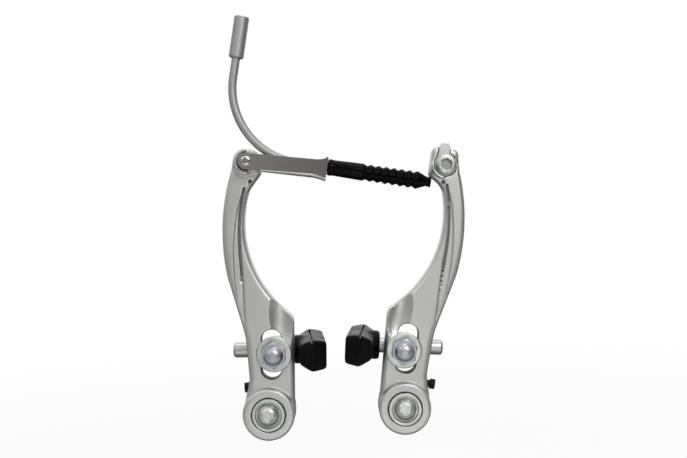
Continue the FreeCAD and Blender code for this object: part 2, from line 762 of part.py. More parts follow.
def arm_outline(side):
    """Corners of the arm with the size that rounds each of them, or None inside the boss."""
    leave, arrive = math.radians(20.0), math.radians(5.0)
    head_x, head_z, head = side.head_x, side.head_z, side.head_radius
    return [
        ((-size.boss_radius * math.cos(leave), size.boss_radius * math.sin(leave)), None),
        ((-size.waist_outer, size.waist_low), size.curve_blend),
        ((-size.waist_outer, size.waist_high), size.bow_blend),
        ((-size.bow_low_x, size.bow_low_z, -size.bow_radius), size.bow_blend),
        ((head_x - head, head_z - size.head_cheek), size.shoulder_blend),
        ((head_x - head * size.head_taper, head_z + head), side.head_blend),
        ((head_x + head, head_z + head), side.head_blend),
        ((head_x + head, side.neck_z), size.neck_blend),
        ((size.inner_high_x, size.inner_high_z, size.inner_radius), size.curve_blend),
        ((size.shoulder_x, size.shoulder_z), size.shoulder_blend),
        ((size.boss_radius * math.cos(arrive), size.boss_radius * math.sin(arrive)), None),
    ]


def round_corners(body, side, outline):
    """Rounds the upright edges of the padded outline, one fillet for each size."""
    blends = {}
    for corner, blend in outline:
        if blend is not None:
            spot = (corner[0].value * side.sign, corner[1].value)
            blends.setdefault(blend.text, (blend, []))[1].append(spot)
    for blend, spots in blends.values():
        round_edges(body, blend, stands_at(spots))


def channel_outline():
    return [
        (-size.channel_outer_x, size.channel_outer_top),
        (-size.channel_inner_x, size.channel_top, size.channel_inner_radius),
        (-size.channel_knee_x, size.channel_knee_z),
        (-size.channel_tip_x, size.channel_tip_z),
        (-size.channel_low_x, size.channel_low_z, -size.channel_outer_radius),
    ]


def groove_outline():
    outer_top = size.groove_top_x + size.groove_width
    outer_knee = size.channel_knee_x + size.groove_width
    return [
        (-outer_top, size.groove_top),
        (-size.groove_top_x, size.groove_top, size.channel_inner_radius),
        (-size.channel_knee_x, size.channel_knee_z),
        (-size.channel_tip_x, size.channel_tip_z),
        (-outer_knee, size.channel_knee_z, -size.channel_inner_radius),
    ]


def slot_outline():
    along = (sine(size.slot_tilt), cosine(size.slot_tilt))
    across = (along[1], -along[0])
    radius = size.slot_radius
    tip = size.slot_half + radius

    def corner(up, out, bend=None):
        x = size.slot_x + along[0] * up + across[0] * out
        z = size.slot_z + along[1] * up + across[1] * out
        return (x, z) if bend is None else (x, z, bend)

    zero = Dim(0.0)
    return [
        corner(-size.slot_half, -radius),
        corner(size.slot_half, -radius, -radius),
        corner(tip, zero, -radius),
        corner(size.slot_half, radius),
        corner(-size.slot_half, radius, -radius),
        corner(-tip, zero, -radius),
    ]


def cut_shape(body, side, depth, corners, length):
    """Cuts an outline back from a depth. The cut starts a little in front of that depth."""
    sketch = front_sketch(body, depth + size.cut_start)
    draw(sketch, mirrored(corners, side.sign))
    pocket(body, sketch, length + size.cut_start)


def cut_round(body, side, depth, x, z, radius, length):
    sketch = front_sketch(body, depth + size.cut_start)
    draw_circle(sketch, as_dim(x) * side.sign, z, radius)
    pocket(body, sketch, length + size.cut_start)


def cut_dish(body, side):
    """Shallow dish that leaves the spine beside it standing proud."""
    dish = body.newObject("PartDesign::SubtractiveEllipsoid", f"{body.Label}_dish")
    bind(dish, "Radius1", size.dish_half_height)
    bind(dish, "Radius2", size.dish_half_width)
    bind(dish, "Radius3", size.dish_bulge)
    bind(dish, "Placement.Base.x", size.dish_x * side.sign)
    bind(dish, "Placement.Base.y", size.dish_depth - ARM_FRONT - size.dish_bulge)
    bind(dish, "Placement.Base.z", size.dish_z)


def add_carrier_seat(body, side):
    """Round seat for the carrier and the raised wall round its end, on the left head."""
    seat = front_sketch(body, ARM_FRONT - size.edge_round)
    draw_circle(seat, size.rivet_x * side.sign, size.rivet_z, size.link_seat_radius)
    pad(body, seat, size.edge_round + size.link_seat)
    hood = front_sketch(body, ARM_FRONT - size.edge_round)
    inner, outer = size.hood_inner, size.hood_outer
    x, z = size.rivet_x, size.rivet_z
    corners = [
        (x, z - outer, -outer),
        (x - outer, z, -outer),
        (x, z + outer),
        (x, z + inner, inner),
        (x - inner, z, inner),
        (x, z - inner),
    ]
    draw(hood, mirrored(corners, side.sign))
    pad(body, hood, size.edge_round + size.link_seat + size.hood_height)
    rivet_front = ARM_FRONT + size.link_seat
    hole = size.rivet_radius + size.running_gap
    cut_round(body, side, rivet_front, x, z, hole, size.rivet_embed + size.slide_gap)


def make_clamp_seat(body, side):
    """Recess for the clamp washer, open towards the top for its tab, and a lip beside it, on the right head."""
    x, z = size.anchor_x, size.anchor_z
    inner, outer = size.clamp_recess_radius, size.clamp_lip_outer
    lip = front_sketch(body, ARM_FRONT - size.edge_round)
    lip_corners = [(x, z - outer, outer), (x + outer, z), (x + inner, z, -inner), (x, z - inner)]
    draw(lip, mirrored(lip_corners, side.sign))
    pad(body, lip, size.edge_round + size.clamp_lip)
    cut_round(body, side, ARM_FRONT, x, z, size.clamp_recess_radius, size.clamp_recess_depth)
    half = size.tab_half_width + size.clear_gap
    middle = x + size.tab_shift
    top = size.right_head_z + size.right_head_radius + size.clear_gap
    corners = [(middle - half, z), (middle - half, top), (middle + half, top), (middle + half, z)]
    cut_shape(body, side, ARM_FRONT, corners, size.clamp_recess_depth)
    floor = ARM_FRONT - size.clamp_recess_depth
    hole = size.bolt_radius + size.running_gap
    cut_round(body, side, floor, x, z, hole, size.anchor_embed + size.slide_gap)


def make_arm(side):
    body = new_body(side.label("arm"))
    outline = front_sketch(body, size.arm_back)
    rounded = arm_outline(side)
    draw(outline, mirrored([corner for corner, blend in rounded], side.sign))
    pad(body, outline, size.arm_thick)
    round_corners(body, side, rounded)
    round_edges(body, size.edge_round, lies_at_depth(ARM_FRONT))
    boss = front_sketch(body, size.boss_back)
    draw_circle(boss, 0.0, 0.0, size.boss_radius)
    pad(body, boss, size.boss_front - size.boss_back)
    round_edges(body, size.boss_round, lies_at_depth(size.boss_front))
    recess_floor = size.bush_length - size.clear_gap
    bore = size.bush_radius + size.running_gap
    cut_round(body, side, size.boss_front, 0.0, 0.0, size.recess_radius, size.boss_front - recess_floor)
    cut_round(body, side, recess_floor, 0.0, 0.0, bore, recess_floor - size.boss_back + size.cut_start)
    cut_shape(body, side, ARM_FRONT, slot_outline(), size.arm_thick + size.cut_start)
    cut_shape(body, side, ARM_FRONT, channel_outline(), size.channel_depth)
    cut_shape(body, side, ARM_FRONT, groove_outline(), size.groove_depth)
    cut_round(body, side, ARM_FRONT, side.pit_x, side.pit_z, size.pit_radius, size.pit_depth)
    cut_dish(body, side)
    pin_hole = front_sketch(body, size.arm_back - size.cut_start)
    draw_circle(pin_hole, spring_pin_x() * side.sign, size.pin_z, size.pin_radius + size.running_gap)
    pocket(body, pin_hole, size.pin_embed + size.slide_gap + size.cut_start, flipped=True)
    screw_hole = sketch_on(body, "YZ_Plane", (size.screw_head_x + size.screw_length) * -side.sign)
    draw_circle(screw_hole, -size.screw_depth, size.screw_z, size.screw_radius + size.running_gap)
    screw_end = size.screw_length * 2 + size.screw_head_length + size.screw_travel
    pocket(body, screw_hole, screw_end, flipped=side.sign > 0)
    screw_seat = sketch_on(body, "YZ_Plane", (size.screw_head_x + size.screw_length) * -side.sign)
    draw_circle(screw_seat, -size.screw_depth, size.screw_z, size.screw_head_radius + size.clear_gap)
    seat_end = size.screw_head_x + size.screw_length - size.screw_seat_x
    pocket(body, screw_seat, seat_end, flipped=side.sign > 0)
    if side is LEFT:
        add_carrier_seat(body, side)
    else:
        make_clamp_seat(body, side)
    side.put(body, 0.0, 0.0, 0.0)


# Eye bolt and what clamps it in the slot


def make_eye_bolt(side):
    nut_seat = ARM_FRONT + size.slide_gap + size.front_washer_thick
    tip = nut_seat + size.nut_bore_depth - size.slide_gap
    back = size.post_depth - size.eye_radius
    corner = size.eye_radius / 4
    corners = [
        (0.0, -back),
        (size.eye_radius - corner, -back, -corner),
        (size.eye_radius, -(back + corner)),
        (size.eye_radius, -EYE_FRONT),
        (size.bolt_radius, -EYE_FRONT),
        (size.bolt_radius, -tip),
        (0.0, -tip),
    ]
    body = turned(side.label("eye_bolt"), "Y", corners)
    hole = sketch_on(body, "YZ_Plane", 0.0)
    draw_circle(hole, -size.post_depth, 0.0, size.post_radius + size.running_gap)
    cut_both_ways(body, hole, size.eye_radius * 4)
    across, up = side.point(*side.slot_point())
    place(body, across, 0.0, up, side.shoe_tilt)


def make_slot_washers(side):
    hole = size.bolt_radius + size.running_gap
    rear = (size.arm_back - size.slide_gap, EYE_FRONT + size.slide_gap, size.rear_washer_radius)
    front_back = ARM_FRONT + size.slide_gap
    front = (front_back + size.front_washer_thick, front_back, size.front_washer_radius)
    for label, (near, far, radius) in (("rear_washer", rear), ("front_washer", front)):
        bevel = (near - far) / 4
        corners = [
            (hole, -far),
            (radius - bevel, -far),
            (radius, -(far + bevel)),
            (radius, -(near - bevel)),
            (radius - bevel, -near),
            (hole, -near),
        ]
        body = turned(side.label(label), "Y", corners)
        side.put(body, *slot_place(side))


def slot_place(side):
    x, z = side.slot_point()
    return x, 0.0, z


def make_cap_nut(side):
    seat = ARM_FRONT + size.slide_gap + size.front_washer_thick
    top = seat + size.nut_height
    body = new_body(side.label("cap_nut"))
    flats = front_sketch(body, seat)
    draw(flats, hexagon(size.nut_width))
    pad(body, flats, size.nut_height)
    crown = size.nut_dome_radius - size.nut_dome_rise
    spin(
        body,
        "Y",
        [
            (0.0, -(top - size.nut_height / 2)),
            (size.nut_dome_radius, -(top - size.nut_height / 2)),
            (size.nut_dome_radius, -top, -size.nut_dome_rise),
            (crown, -(top + size.nut_dome_rise)),
            (0.0, -(top + size.nut_dome_rise)),
        ],
    )
    reach = size.nut_width * 0.6
    drop = (reach - size.nut_width / 2) * math.tan(math.radians(30.0))
    corners = sketch_on(body, "XY_Plane", 0.0)
    draw(corners, [(size.nut_width / 2, -top), (reach, -top), (reach, drop - top)])
    turned_off = feature(body, "Groove", corners)
    turned_off.ReferenceAxis = (corners, ["V_Axis"])
    thread = front_sketch(body, seat - size.cut_start)
    draw_circle(thread, 0.0, 0.0, size.bolt_radius + size.running_gap)
    pocket(body, thread, size.nut_bore_depth + size.cut_start, flipped=True)
    side.put(body, *slot_place(side))


# Shoe


def place_shoe_piece(body, side):
    across, up = side.point(*side.slot_point())
    place(body, across, -size.post_depth, up, side.shoe_tilt)


def make_shoe_post(side):
    far = -side.tail
    near = side.reach - size.block_thick + size.post_embed - size.slide_gap
    bevel = size.post_radius / 4
    corners = [
        (far, 0.0),
        (far, size.post_radius - bevel),
        (far + bevel, size.post_radius),
        (near, size.post_radius),
        (near, 0.0),
    ]
    body = turned(side.label("shoe_post"), "X", mirrored(corners, side.sign))
    place_shoe_piece(body, side)


def make_brake_block(side):
    body = new_body(side.label("brake_block"))
    face = side.reach
    back = face - size.block_thick
    ridge = back + size.block_ridge
    half = size.block_length / 2
    toe = size.block_toe * side.sign
    section = swung_front(body, -half, face * side.sign, toe)
    corners = [
        (back, -size.block_back_half),
        (back, size.block_back_half),
        (ridge, size.block_mid_half),
        (face, size.block_face_half),
        (face, -size.block_face_half),
        (ridge, -size.block_mid_half),
    ]
    draw(section, mirrored(corners, side.sign))
    pad(body, section, size.block_length)
    nose = swung_plan(body, face * side.sign, toe)
    spare = size.clear_gap
    for end in (-1, 1):
        tip = (half + spare) * end
        back_end = (half - size.nose_back) * end
        face_end = (half - size.nose_face) * end
        point = half * end
        behind = [(back - spare, back_end), (back, back_end), (ridge, point), (ridge, tip), (back - spare, tip)]
        before = [(face + spare, face_end), (face, face_end), (ridge, point), (ridge, tip), (face + spare, tip)]
        draw(nose, mirrored(merge_nose(behind, before), side.sign))
    cut_both_ways(body, nose, size.block_mid_half * 4)
    rain = swung_plan(body, face * side.sign, toe)
    for end in (-1, 1):
        low = size.rain_groove_y * end - size.rain_groove_width / 2
        high = size.rain_groove_y * end + size.rain_groove_width / 2
        inner = face - size.rain_groove_depth
        draw(rain, mirrored([(inner, low), (face + spare, low), (face + spare, high), (inner, high)], side.sign))
    cut_both_ways(body, rain, size.block_mid_half * 4)
    neck = sketch_on(body, "YZ_Plane", (back - size.block_neck_length) * side.sign)
    draw_circle(neck, 0.0, 0.0, size.block_neck_radius)
    grown = pad(body, neck, size.block_neck_length + size.block_ridge / 2)
    grown.Reversed = side.sign < 0
    hole = sketch_on(body, "YZ_Plane", (back - size.block_neck_length) * side.sign)
    draw_circle(hole, 0.0, 0.0, size.post_radius + size.running_gap)
    pocket(body, hole, size.block_neck_length + size.post_embed, flipped=side.sign > 0)
    place_shoe_piece(body, side)


def swing(sketch, axis, moves, angle):
    """Turns a sketch about one of its own axes and moves it."""
    start = Vector(*(move.value for move in moves))
    sketch.AttachmentOffset = Placement(start, Rotation(axis, angle.value))
    for letter, move in zip("xyz", moves):
        bind(sketch, f"AttachmentOffset.Base.{letter}", move)
    bind(sketch, "AttachmentOffset.Rotation.Angle", angle)


def swung_front(body, depth, hinge, angle):
    """A front sketch at a depth, swung about an upright line at a place along X."""
    sketch = front_sketch(body, depth)
    depth = as_dim(depth)
    across = hinge - hinge * cosine(angle) + depth * sine(angle)
    forward = hinge * sine(angle) + depth * cosine(angle)
    swing(sketch, Vector(0, 1, 0), (across, Dim(0.0), forward), angle)
    return sketch


def swung_plan(body, hinge, angle):
    """A sketch seen from above, swung about an upright line at a place along X."""
    sketch = sketch_on(body, "XY_Plane", 0.0)
    swing(sketch, Vector(0, 0, 1), (hinge - hinge * cosine(angle), -(hinge * sine(angle)), Dim(0.0)), angle)
    return sketch


def merge_nose(behind, before):
    """One outline from the two slanted cuts that meet at the nose's ridge."""
    return behind[:3] + before[1:2] + before[:1] + before[-1:] + behind[-1:]


# Cable guide, drawn in its own frame with the ferrule along z and the boot along x


def place_guide_piece(body):
    rivet_x, rivet_z = LEFT.point(size.rivet_x, size.rivet_z)
    across, up = turn(size.guide_rivet_x, -size.guide_rivet_z, size.guide_tilt)
    place(body, rivet_x - across, -GUIDE_DEPTH, rivet_z - up, size.guide_tilt)


def make_rivet():
    seat = CARRIER_FRONT + size.slide_gap
    tip = ARM_FRONT + size.link_seat - size.rivet_embed
    rise = size.rivet_head_height
    corners = [
        (0.0, -tip),
        (size.rivet_radius, -tip),
        (size.rivet_radius, -seat),
        (size.rivet_head_radius, -seat, -rise),
        (size.rivet_head_radius - rise, -(seat + rise)),
        (0.0, -(seat + rise)),
    ]
    body = turned("carrier_rivet", "Y", corners)
    LEFT.put(body, size.rivet_x, 0.0, size.rivet_z)


def carrier_wall():
    """Outline of one wall of the folded carrier: a round end, a strip and a flared far end."""
    x, z = size.guide_rivet_x, -size.guide_rivet_z
    end = size.carrier_end_radius
    flare = size.carrier_length - size.carrier_flare_length
    return [
        (x, z - end, -end),
        (x - end, z, -end),
        (x, z + end),
        (flare, size.carrier_high, size.carrier_flare_rise),
        (size.carrier_length, size.carrier_flare_high),
        (size.carrier_length, -size.carrier_flare_low, size.carrier_flare_fall),
        (flare, -size.carrier_low),
        (size.carrier_web_start, -size.carrier_fold_low),
        (size.carrier_web_start, -size.carrier_notch),
    ]


def make_carrier():
    body = new_body("guide_carrier")
    middle = size.carrier_gap / 2
    sheet_thick = size.carrier_sheet
    front_face = middle + sheet_thick
    rear = front_sketch(body, -front_face)
    draw(rear, carrier_wall())
    pad(body, rear, sheet_thick)
    floor = front_sketch(body, -front_face)
    flare = size.carrier_length - size.carrier_flare_length
    floor_corners = [
        (size.carrier_web_start, -size.carrier_fold_low),
        (size.carrier_web_start, sheet_thick - size.carrier_fold_low),
        (flare, sheet_thick - size.carrier_low),
        (size.carrier_length - sheet_thick, sheet_thick - size.carrier_low),
        (size.carrier_length - sheet_thick, size.carrier_flare_high),
        (size.carrier_length, size.carrier_flare_high),
        (size.carrier_length, -size.carrier_flare_low, size.carrier_flare_fall),
        (flare, -size.carrier_low),
    ]
    draw(floor, floor_corners)
    pad(body, floor, front_face * 2)
    front = front_sketch(body, middle)
    draw(front, carrier_wall())
    pad(body, front, sheet_thick)
    rivet = front_sketch(body, front_face)
    draw_circle(rivet, size.guide_rivet_x, -size.guide_rivet_z, size.rivet_radius + size.running_gap)
    pocket(body, rivet, front_face * 2)
    outlet = sketch_on(body, "YZ_Plane", size.carrier_length)
    draw_circle(outlet, 0.0, 0.0, size.tube_radius + size.running_gap)
    pocket(body, outlet, sheet_thick)
    place_guide_piece(body)


def bent_pipe(label, outer, inner):
    """A pipe along the boot's axis, round the bend and up the ferrule's axis."""
    body = new_body(label)
    tip = size.carrier_length + size.tube_tip
    spine = front_sketch(body, 0.0)
    corners = [
        (tip, 0.0),
        (size.guide_radius, 0.0, -size.guide_radius),
        (0.0, size.guide_radius),
        (0.0, size.tube_top),
    ]
    draw(spine, corners, closed=False)
    section = sketch_on(body, "YZ_Plane", tip)
    draw_circle(section, 0.0, 0.0, outer)
    draw_circle(section, 0.0, 0.0, inner)
    doc.recompute()
    pipe = feature(body, "AdditivePipe", section)
    pipe.Spine = (spine, [])
    place_guide_piece(body)


def make_ferrule():
    socket_floor = size.ferrule_top - size.casing_depth
    tube_hole = size.tube_radius + size.running_gap
    through = size.tube_bore
    stop = size.tube_top + size.slide_gap
    bevel = size.ferrule_round
    corners = [
        (tube_hole, size.ferrule_low),
        (size.ferrule_radius - bevel, size.ferrule_low),
        (size.ferrule_radius, size.ferrule_low + bevel),
        (size.ferrule_radius, size.ferrule_top - bevel),
        (size.ferrule_radius - bevel / 2, size.ferrule_top),
        (size.casing_radius, size.ferrule_top),
        (size.casing_radius, socket_floor),
        (through, socket_floor),
        (through, stop),
        (tube_hole, stop),
    ]
    body = turned("tube_ferrule", "Z", corners)
    place_guide_piece(body)


def boot_profile():
    """Outside of the boot from the carrier to its tip, then its bore back to the carrier."""
    start = size.carrier_length + size.slide_gap
    first = start + size.boot_sleeve_length
    count = int(size.boot_ridges.value)
    taper = (size.boot_ridge_radius - size.boot_last_radius) / (count - 1)
    outside = [
        (start, size.boot_mouth_radius),
        (start + size.boot_bead_length, size.boot_bead_radius),
        (start + size.boot_bead_length * 2, size.boot_mouth_radius),
        (first, size.boot_sleeve_radius),
    ]
    for number in range(count):
        ridge = first + size.boot_pitch * number
        peak = size.boot_ridge_radius - taper * number
        outside += [
            (ridge + size.boot_pitch * 0.5, size.boot_valley_radius),
            (ridge + size.boot_pitch * 0.92, peak),
            (ridge + size.boot_pitch * 1.08, peak),
        ]
    neck = first + size.boot_pitch * count + size.boot_cone_length
    tip = neck + size.boot_tip_length
    outside += [(neck, size.boot_neck_radius), (tip, size.boot_tip_radius)]
    tube_hole = size.tube_radius + size.running_gap
    tube_end = size.carrier_length + size.tube_tip + size.slide_gap
    inside = [
        (tip, size.boot_bore),
        (tube_end, size.boot_bore),
        (tube_end, tube_hole),
        (start, tube_hole),
    ]
    return outside + inside


def make_boot():
    body = turned("rubber_boot", "X", boot_profile())
    place_guide_piece(body)


# Cable clamp on the right head


def make_clamp_washer():
    floor = ARM_FRONT - size.clamp_recess_depth
    body = new_body("cable_clamp_washer")
    disc = front_sketch(body, floor)
    draw_circle(disc, 0.0, 0.0, size.clamp_radius)
    pad(body, disc, size.clamp_thick)
    tab = front_sketch(body, floor)
    middle, wide, tip = size.tab_shift, size.tab_half_width, size.tab_tip_half
    foot = size.clamp_radius / 2
    corners = [
        (middle - wide, foot),
        (middle - wide, size.tab_rise - tip),
        (middle - tip, size.tab_rise),
        (middle + tip, size.tab_rise),
        (middle + wide, size.tab_rise - tip),
        (middle + wide, foot),
    ]
    draw(tab, mirrored(corners, RIGHT.sign))
    pad(body, tab, size.clamp_thick)
    hole = front_sketch(body, floor + size.clamp_thick)
    draw_circle(hole, 0.0, 0.0, size.bolt_radius + size.running_gap)
    pocket(body, hole, size.clamp_thick)
    RIGHT.put(body, size.anchor_x, 0.0, size.anchor_z)


def make_anchor_bolt():
    floor = ARM_FRONT - size.clamp_recess_depth
    body = domed_bolt(
        "cable_anchor_bolt",
        size.bolt_radius,
        floor - size.anchor_embed,
        floor + size.clamp_thick,
        size.anchor_head_radius,
        size.anchor_rim_height,
        size.anchor_head_height,
        size.anchor_socket_width,
        size.anchor_socket_depth,
    )
    RIGHT.put(body, size.anchor_x, 0.0, size.anchor_z)


def make_side(side):
    make_arm(side)
    make_bush(side)
    make_bolt_washer(side)
    make_mounting_bolt(side)
    make_spring_holder(side)
    make_return_spring(side)
    make_spring_pin(side)
    make_tension_screw(side)
    make_eye_bolt(side)
    make_slot_washers(side)
    make_cap_nut(side)
    make_shoe_post(side)
    make_brake_block(side)


def make_guide():
    make_carrier()
    make_rivet()
    bent_pipe("guide_tube", size.tube_radius, size.tube_bore)
    bent_pipe("tube_liner", size.tube_bore - size.running_gap, size.liner_bore)
    make_ferrule()
    make_boot()


def write_parts():
    doc.recompute()
    failed = [thing.Label for thing in doc.Objects if {"Invalid", "Error"} & set(thing.State)]
    if failed:
        raise RuntimeError(f"these objects failed: {failed}")
    pieces = [
        thing
        for thing in doc.Objects
        if thing.TypeId == "PartDesign::Body" or thing.TypeId == "Part::Feature"
    ]
    for piece in pieces:
        shape = piece.Shape
        if shape.isNull() or not shape.isValid() or len(shape.Solids) != 1:
            raise RuntimeError(f"{piece.Label} isn't one valid solid")
    os.makedirs("parts", exist_ok=True)
    for piece in pieces:
        piece.Shape.exportStep(f"parts/{piece.Label}.step")


make_side(LEFT)
make_side(RIGHT)
make_guide()
make_clamp_washer()
make_anchor_bolt()
write_parts()
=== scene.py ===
"""Linear-pull rim brake of a bicycle: the looks round its CAD frame.

The arms, fasteners, carrier, boot, brake blocks and return springs are finished copies that stand for
their CAD nodes: softened, rounded or cut. The other pieces keep their CAD shapes, and
every piece gets its finish here.
"""

import json
import math

import bpy
from bpy.props import FloatProperty, FloatVectorProperty, PointerProperty
from bpy.types import Operator, Panel, PropertyGroup
from mathutils import Matrix, Vector

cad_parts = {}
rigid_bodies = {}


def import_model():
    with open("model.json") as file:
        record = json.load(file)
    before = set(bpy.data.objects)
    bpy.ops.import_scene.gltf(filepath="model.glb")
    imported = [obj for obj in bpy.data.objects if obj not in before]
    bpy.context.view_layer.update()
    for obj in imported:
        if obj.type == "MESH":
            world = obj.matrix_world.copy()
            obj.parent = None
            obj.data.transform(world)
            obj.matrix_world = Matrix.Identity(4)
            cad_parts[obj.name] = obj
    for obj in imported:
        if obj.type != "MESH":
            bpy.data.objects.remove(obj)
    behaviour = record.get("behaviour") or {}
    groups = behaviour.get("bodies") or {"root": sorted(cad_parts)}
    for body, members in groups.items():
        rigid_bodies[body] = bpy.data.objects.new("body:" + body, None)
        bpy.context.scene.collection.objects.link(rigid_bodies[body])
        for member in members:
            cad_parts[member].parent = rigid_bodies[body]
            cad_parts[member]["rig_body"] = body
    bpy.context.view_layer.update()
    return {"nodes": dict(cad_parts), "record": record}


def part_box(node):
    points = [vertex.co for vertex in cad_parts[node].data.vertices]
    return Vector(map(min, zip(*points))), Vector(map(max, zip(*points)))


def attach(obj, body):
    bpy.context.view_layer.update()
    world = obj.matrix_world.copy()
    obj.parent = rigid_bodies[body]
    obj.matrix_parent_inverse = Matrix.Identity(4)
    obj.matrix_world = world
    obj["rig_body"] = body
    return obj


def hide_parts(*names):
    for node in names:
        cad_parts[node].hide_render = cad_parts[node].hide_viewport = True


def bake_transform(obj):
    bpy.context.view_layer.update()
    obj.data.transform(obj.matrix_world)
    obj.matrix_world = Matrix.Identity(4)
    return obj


bl_info = {
    "name": "Linear-pull rim brake",
    "version": (1, 0, 0),
    "blender": (4, 5, 0),
    "location": "View3D > Sidebar > Brake",
    "description": "Finishes and soft pieces of a bicycle's linear-pull rim brake",
    "category": "Object",
}

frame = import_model()
SIDES = ("left", "right")
IMAGE_WIDTH_PX = 687.0
SENSOR_WIDTH_MM = 36.0
WHITE = (1.0, 1.0, 1.0, 1.0)

# Faces that meet at less than these angles are merged, left sharp, or shaded as one
FLAT_ANGLE = math.radians(0.5)
BEVEL_ANGLE = math.radians(25.0)
SHEET_BEVEL_ANGLE = math.radians(40.0)
PIECE_SMOOTH_ANGLE = math.radians(35.0)
BLOCK_SMOOTH_ANGLE = math.radians(50.0)
WIRE_SMOOTH_ANGLE = math.radians(60.0)
CASTING_SMOOTH_ANGLE = math.radians(180.0)
# Corners nearer to each other than this, in metres, become one
MERGE_DISTANCE = 2e-6
# How much large faces lead the shading of the small ones beside them
FLAT_FACE_WEIGHT = 80

# How often a softened piece is smoothed
CASTING_ROUNDS = 8
BLOCK_ROUNDS = 90

# Most values of a noise lie in this range
NOISE_RANGE = (0.3, 0.7)
# Curvature at which the painted shade of hollows and the polish of edges start and end
HOLLOW_SHADE_CURVATURE = (0.49, 0.42)
EDGE_CURVATURE = (0.52, 0.60)
HOLLOW_EXTRA_ROUGHNESS = 0.2
# The bead's depth along the block, and its place behind the tip of the nose, against its radius
BEAD_DEPTH = 2.0
BEAD_SET_BACK = 2.2

# Places on the floor, in metres, between which it turns white or darkens into a painted shadow that only
# mirrors show
FLOOR_WHITE_REACH = (0.15, 0.75)
FLOOR_SHADOW_DEPTH = (-0.11, -0.02)
# Darkness of that painted shadow, as metal mirrors it
FLOOR_SHADOW_DARKNESS = 0.9
FLOOR_ROUGHNESS = 0.9
# Level of the soft light from all sides
SOFT_LEVEL = 0.35
# Directions in the room between which its brightness changes, and the brightness at both ends
ROOM_BEHIND = ((0.2, 0.9), (0.0, 0.85))
ROOM_ABOVE = ((-0.4, 0.9), (0.02, 0.5))
ROOM_ASIDE = ((-0.8, 0.5), (0.2, 0.0))
ROOM_BELOW = ((-0.3, -0.55), (0.0, 0.9))

# Each lamp's name, place in metres, side in metres and power in watts
LAMPS = (
    ("key", (-0.34, -0.46, 0.46), 0.34, 0.45),
    ("high_front", (0.24, -0.52, 0.38), 0.3, 1.5),
    ("low_front", (0.05, -0.58, -0.08), 0.16, 0.22),
    ("top", (0.08, -0.05, 0.62), 0.4, 0.9),
)
LAMP_TARGET = (0.035, -0.02, 0.06)


# Settings that a user would change


def colour(name, description, default):
    return FloatVectorProperty(
        name=name, description=description, default=default, size=3, min=0.0, max=1.0, subtype="COLOR"
    )


def length(name, description, default):
    return FloatProperty(name=name, description=description, default=default, unit="LENGTH", precision=5)


class BRAKE_PG_colours(PropertyGroup):
    """Colours of the finishes"""

    casting: colour("Casting", "Polished cast aluminium of the arms", (0.60, 0.60, 0.59))
    zinc: colour("Zinc plating", "Bolts, nuts, washers and posts", (0.58, 0.60, 0.56))
    nut: colour("Nut plating", "Bright bluish plating of the cap nuts", (0.47, 0.48, 0.52))
    sheet: colour("Carrier sheet", "Polished folded sheet of the carrier", (0.66, 0.65, 0.63))
    tube: colour("Guide tube", "Satin tube and its ferrule", (0.40, 0.40, 0.40))
    spring: colour("Spring wire", "Drawn wire of the return springs", (0.34, 0.34, 0.35))
    block: colour("Block rubber", "Matte moulded brake blocks", (0.003, 0.003, 0.0035))
    boot: colour("Boot rubber", "Glossy bellows boot", (0.002, 0.002, 0.002))
    plastic: colour("Holder plastic", "Moulded spring holders", (0.006, 0.006, 0.007))
    liner: colour("Liner plastic", "Pale liner in the guide tube", (0.72, 0.72, 0.68))
    floor: colour("Floor", "Pale floor under the brake", (0.90, 0.90, 0.90))


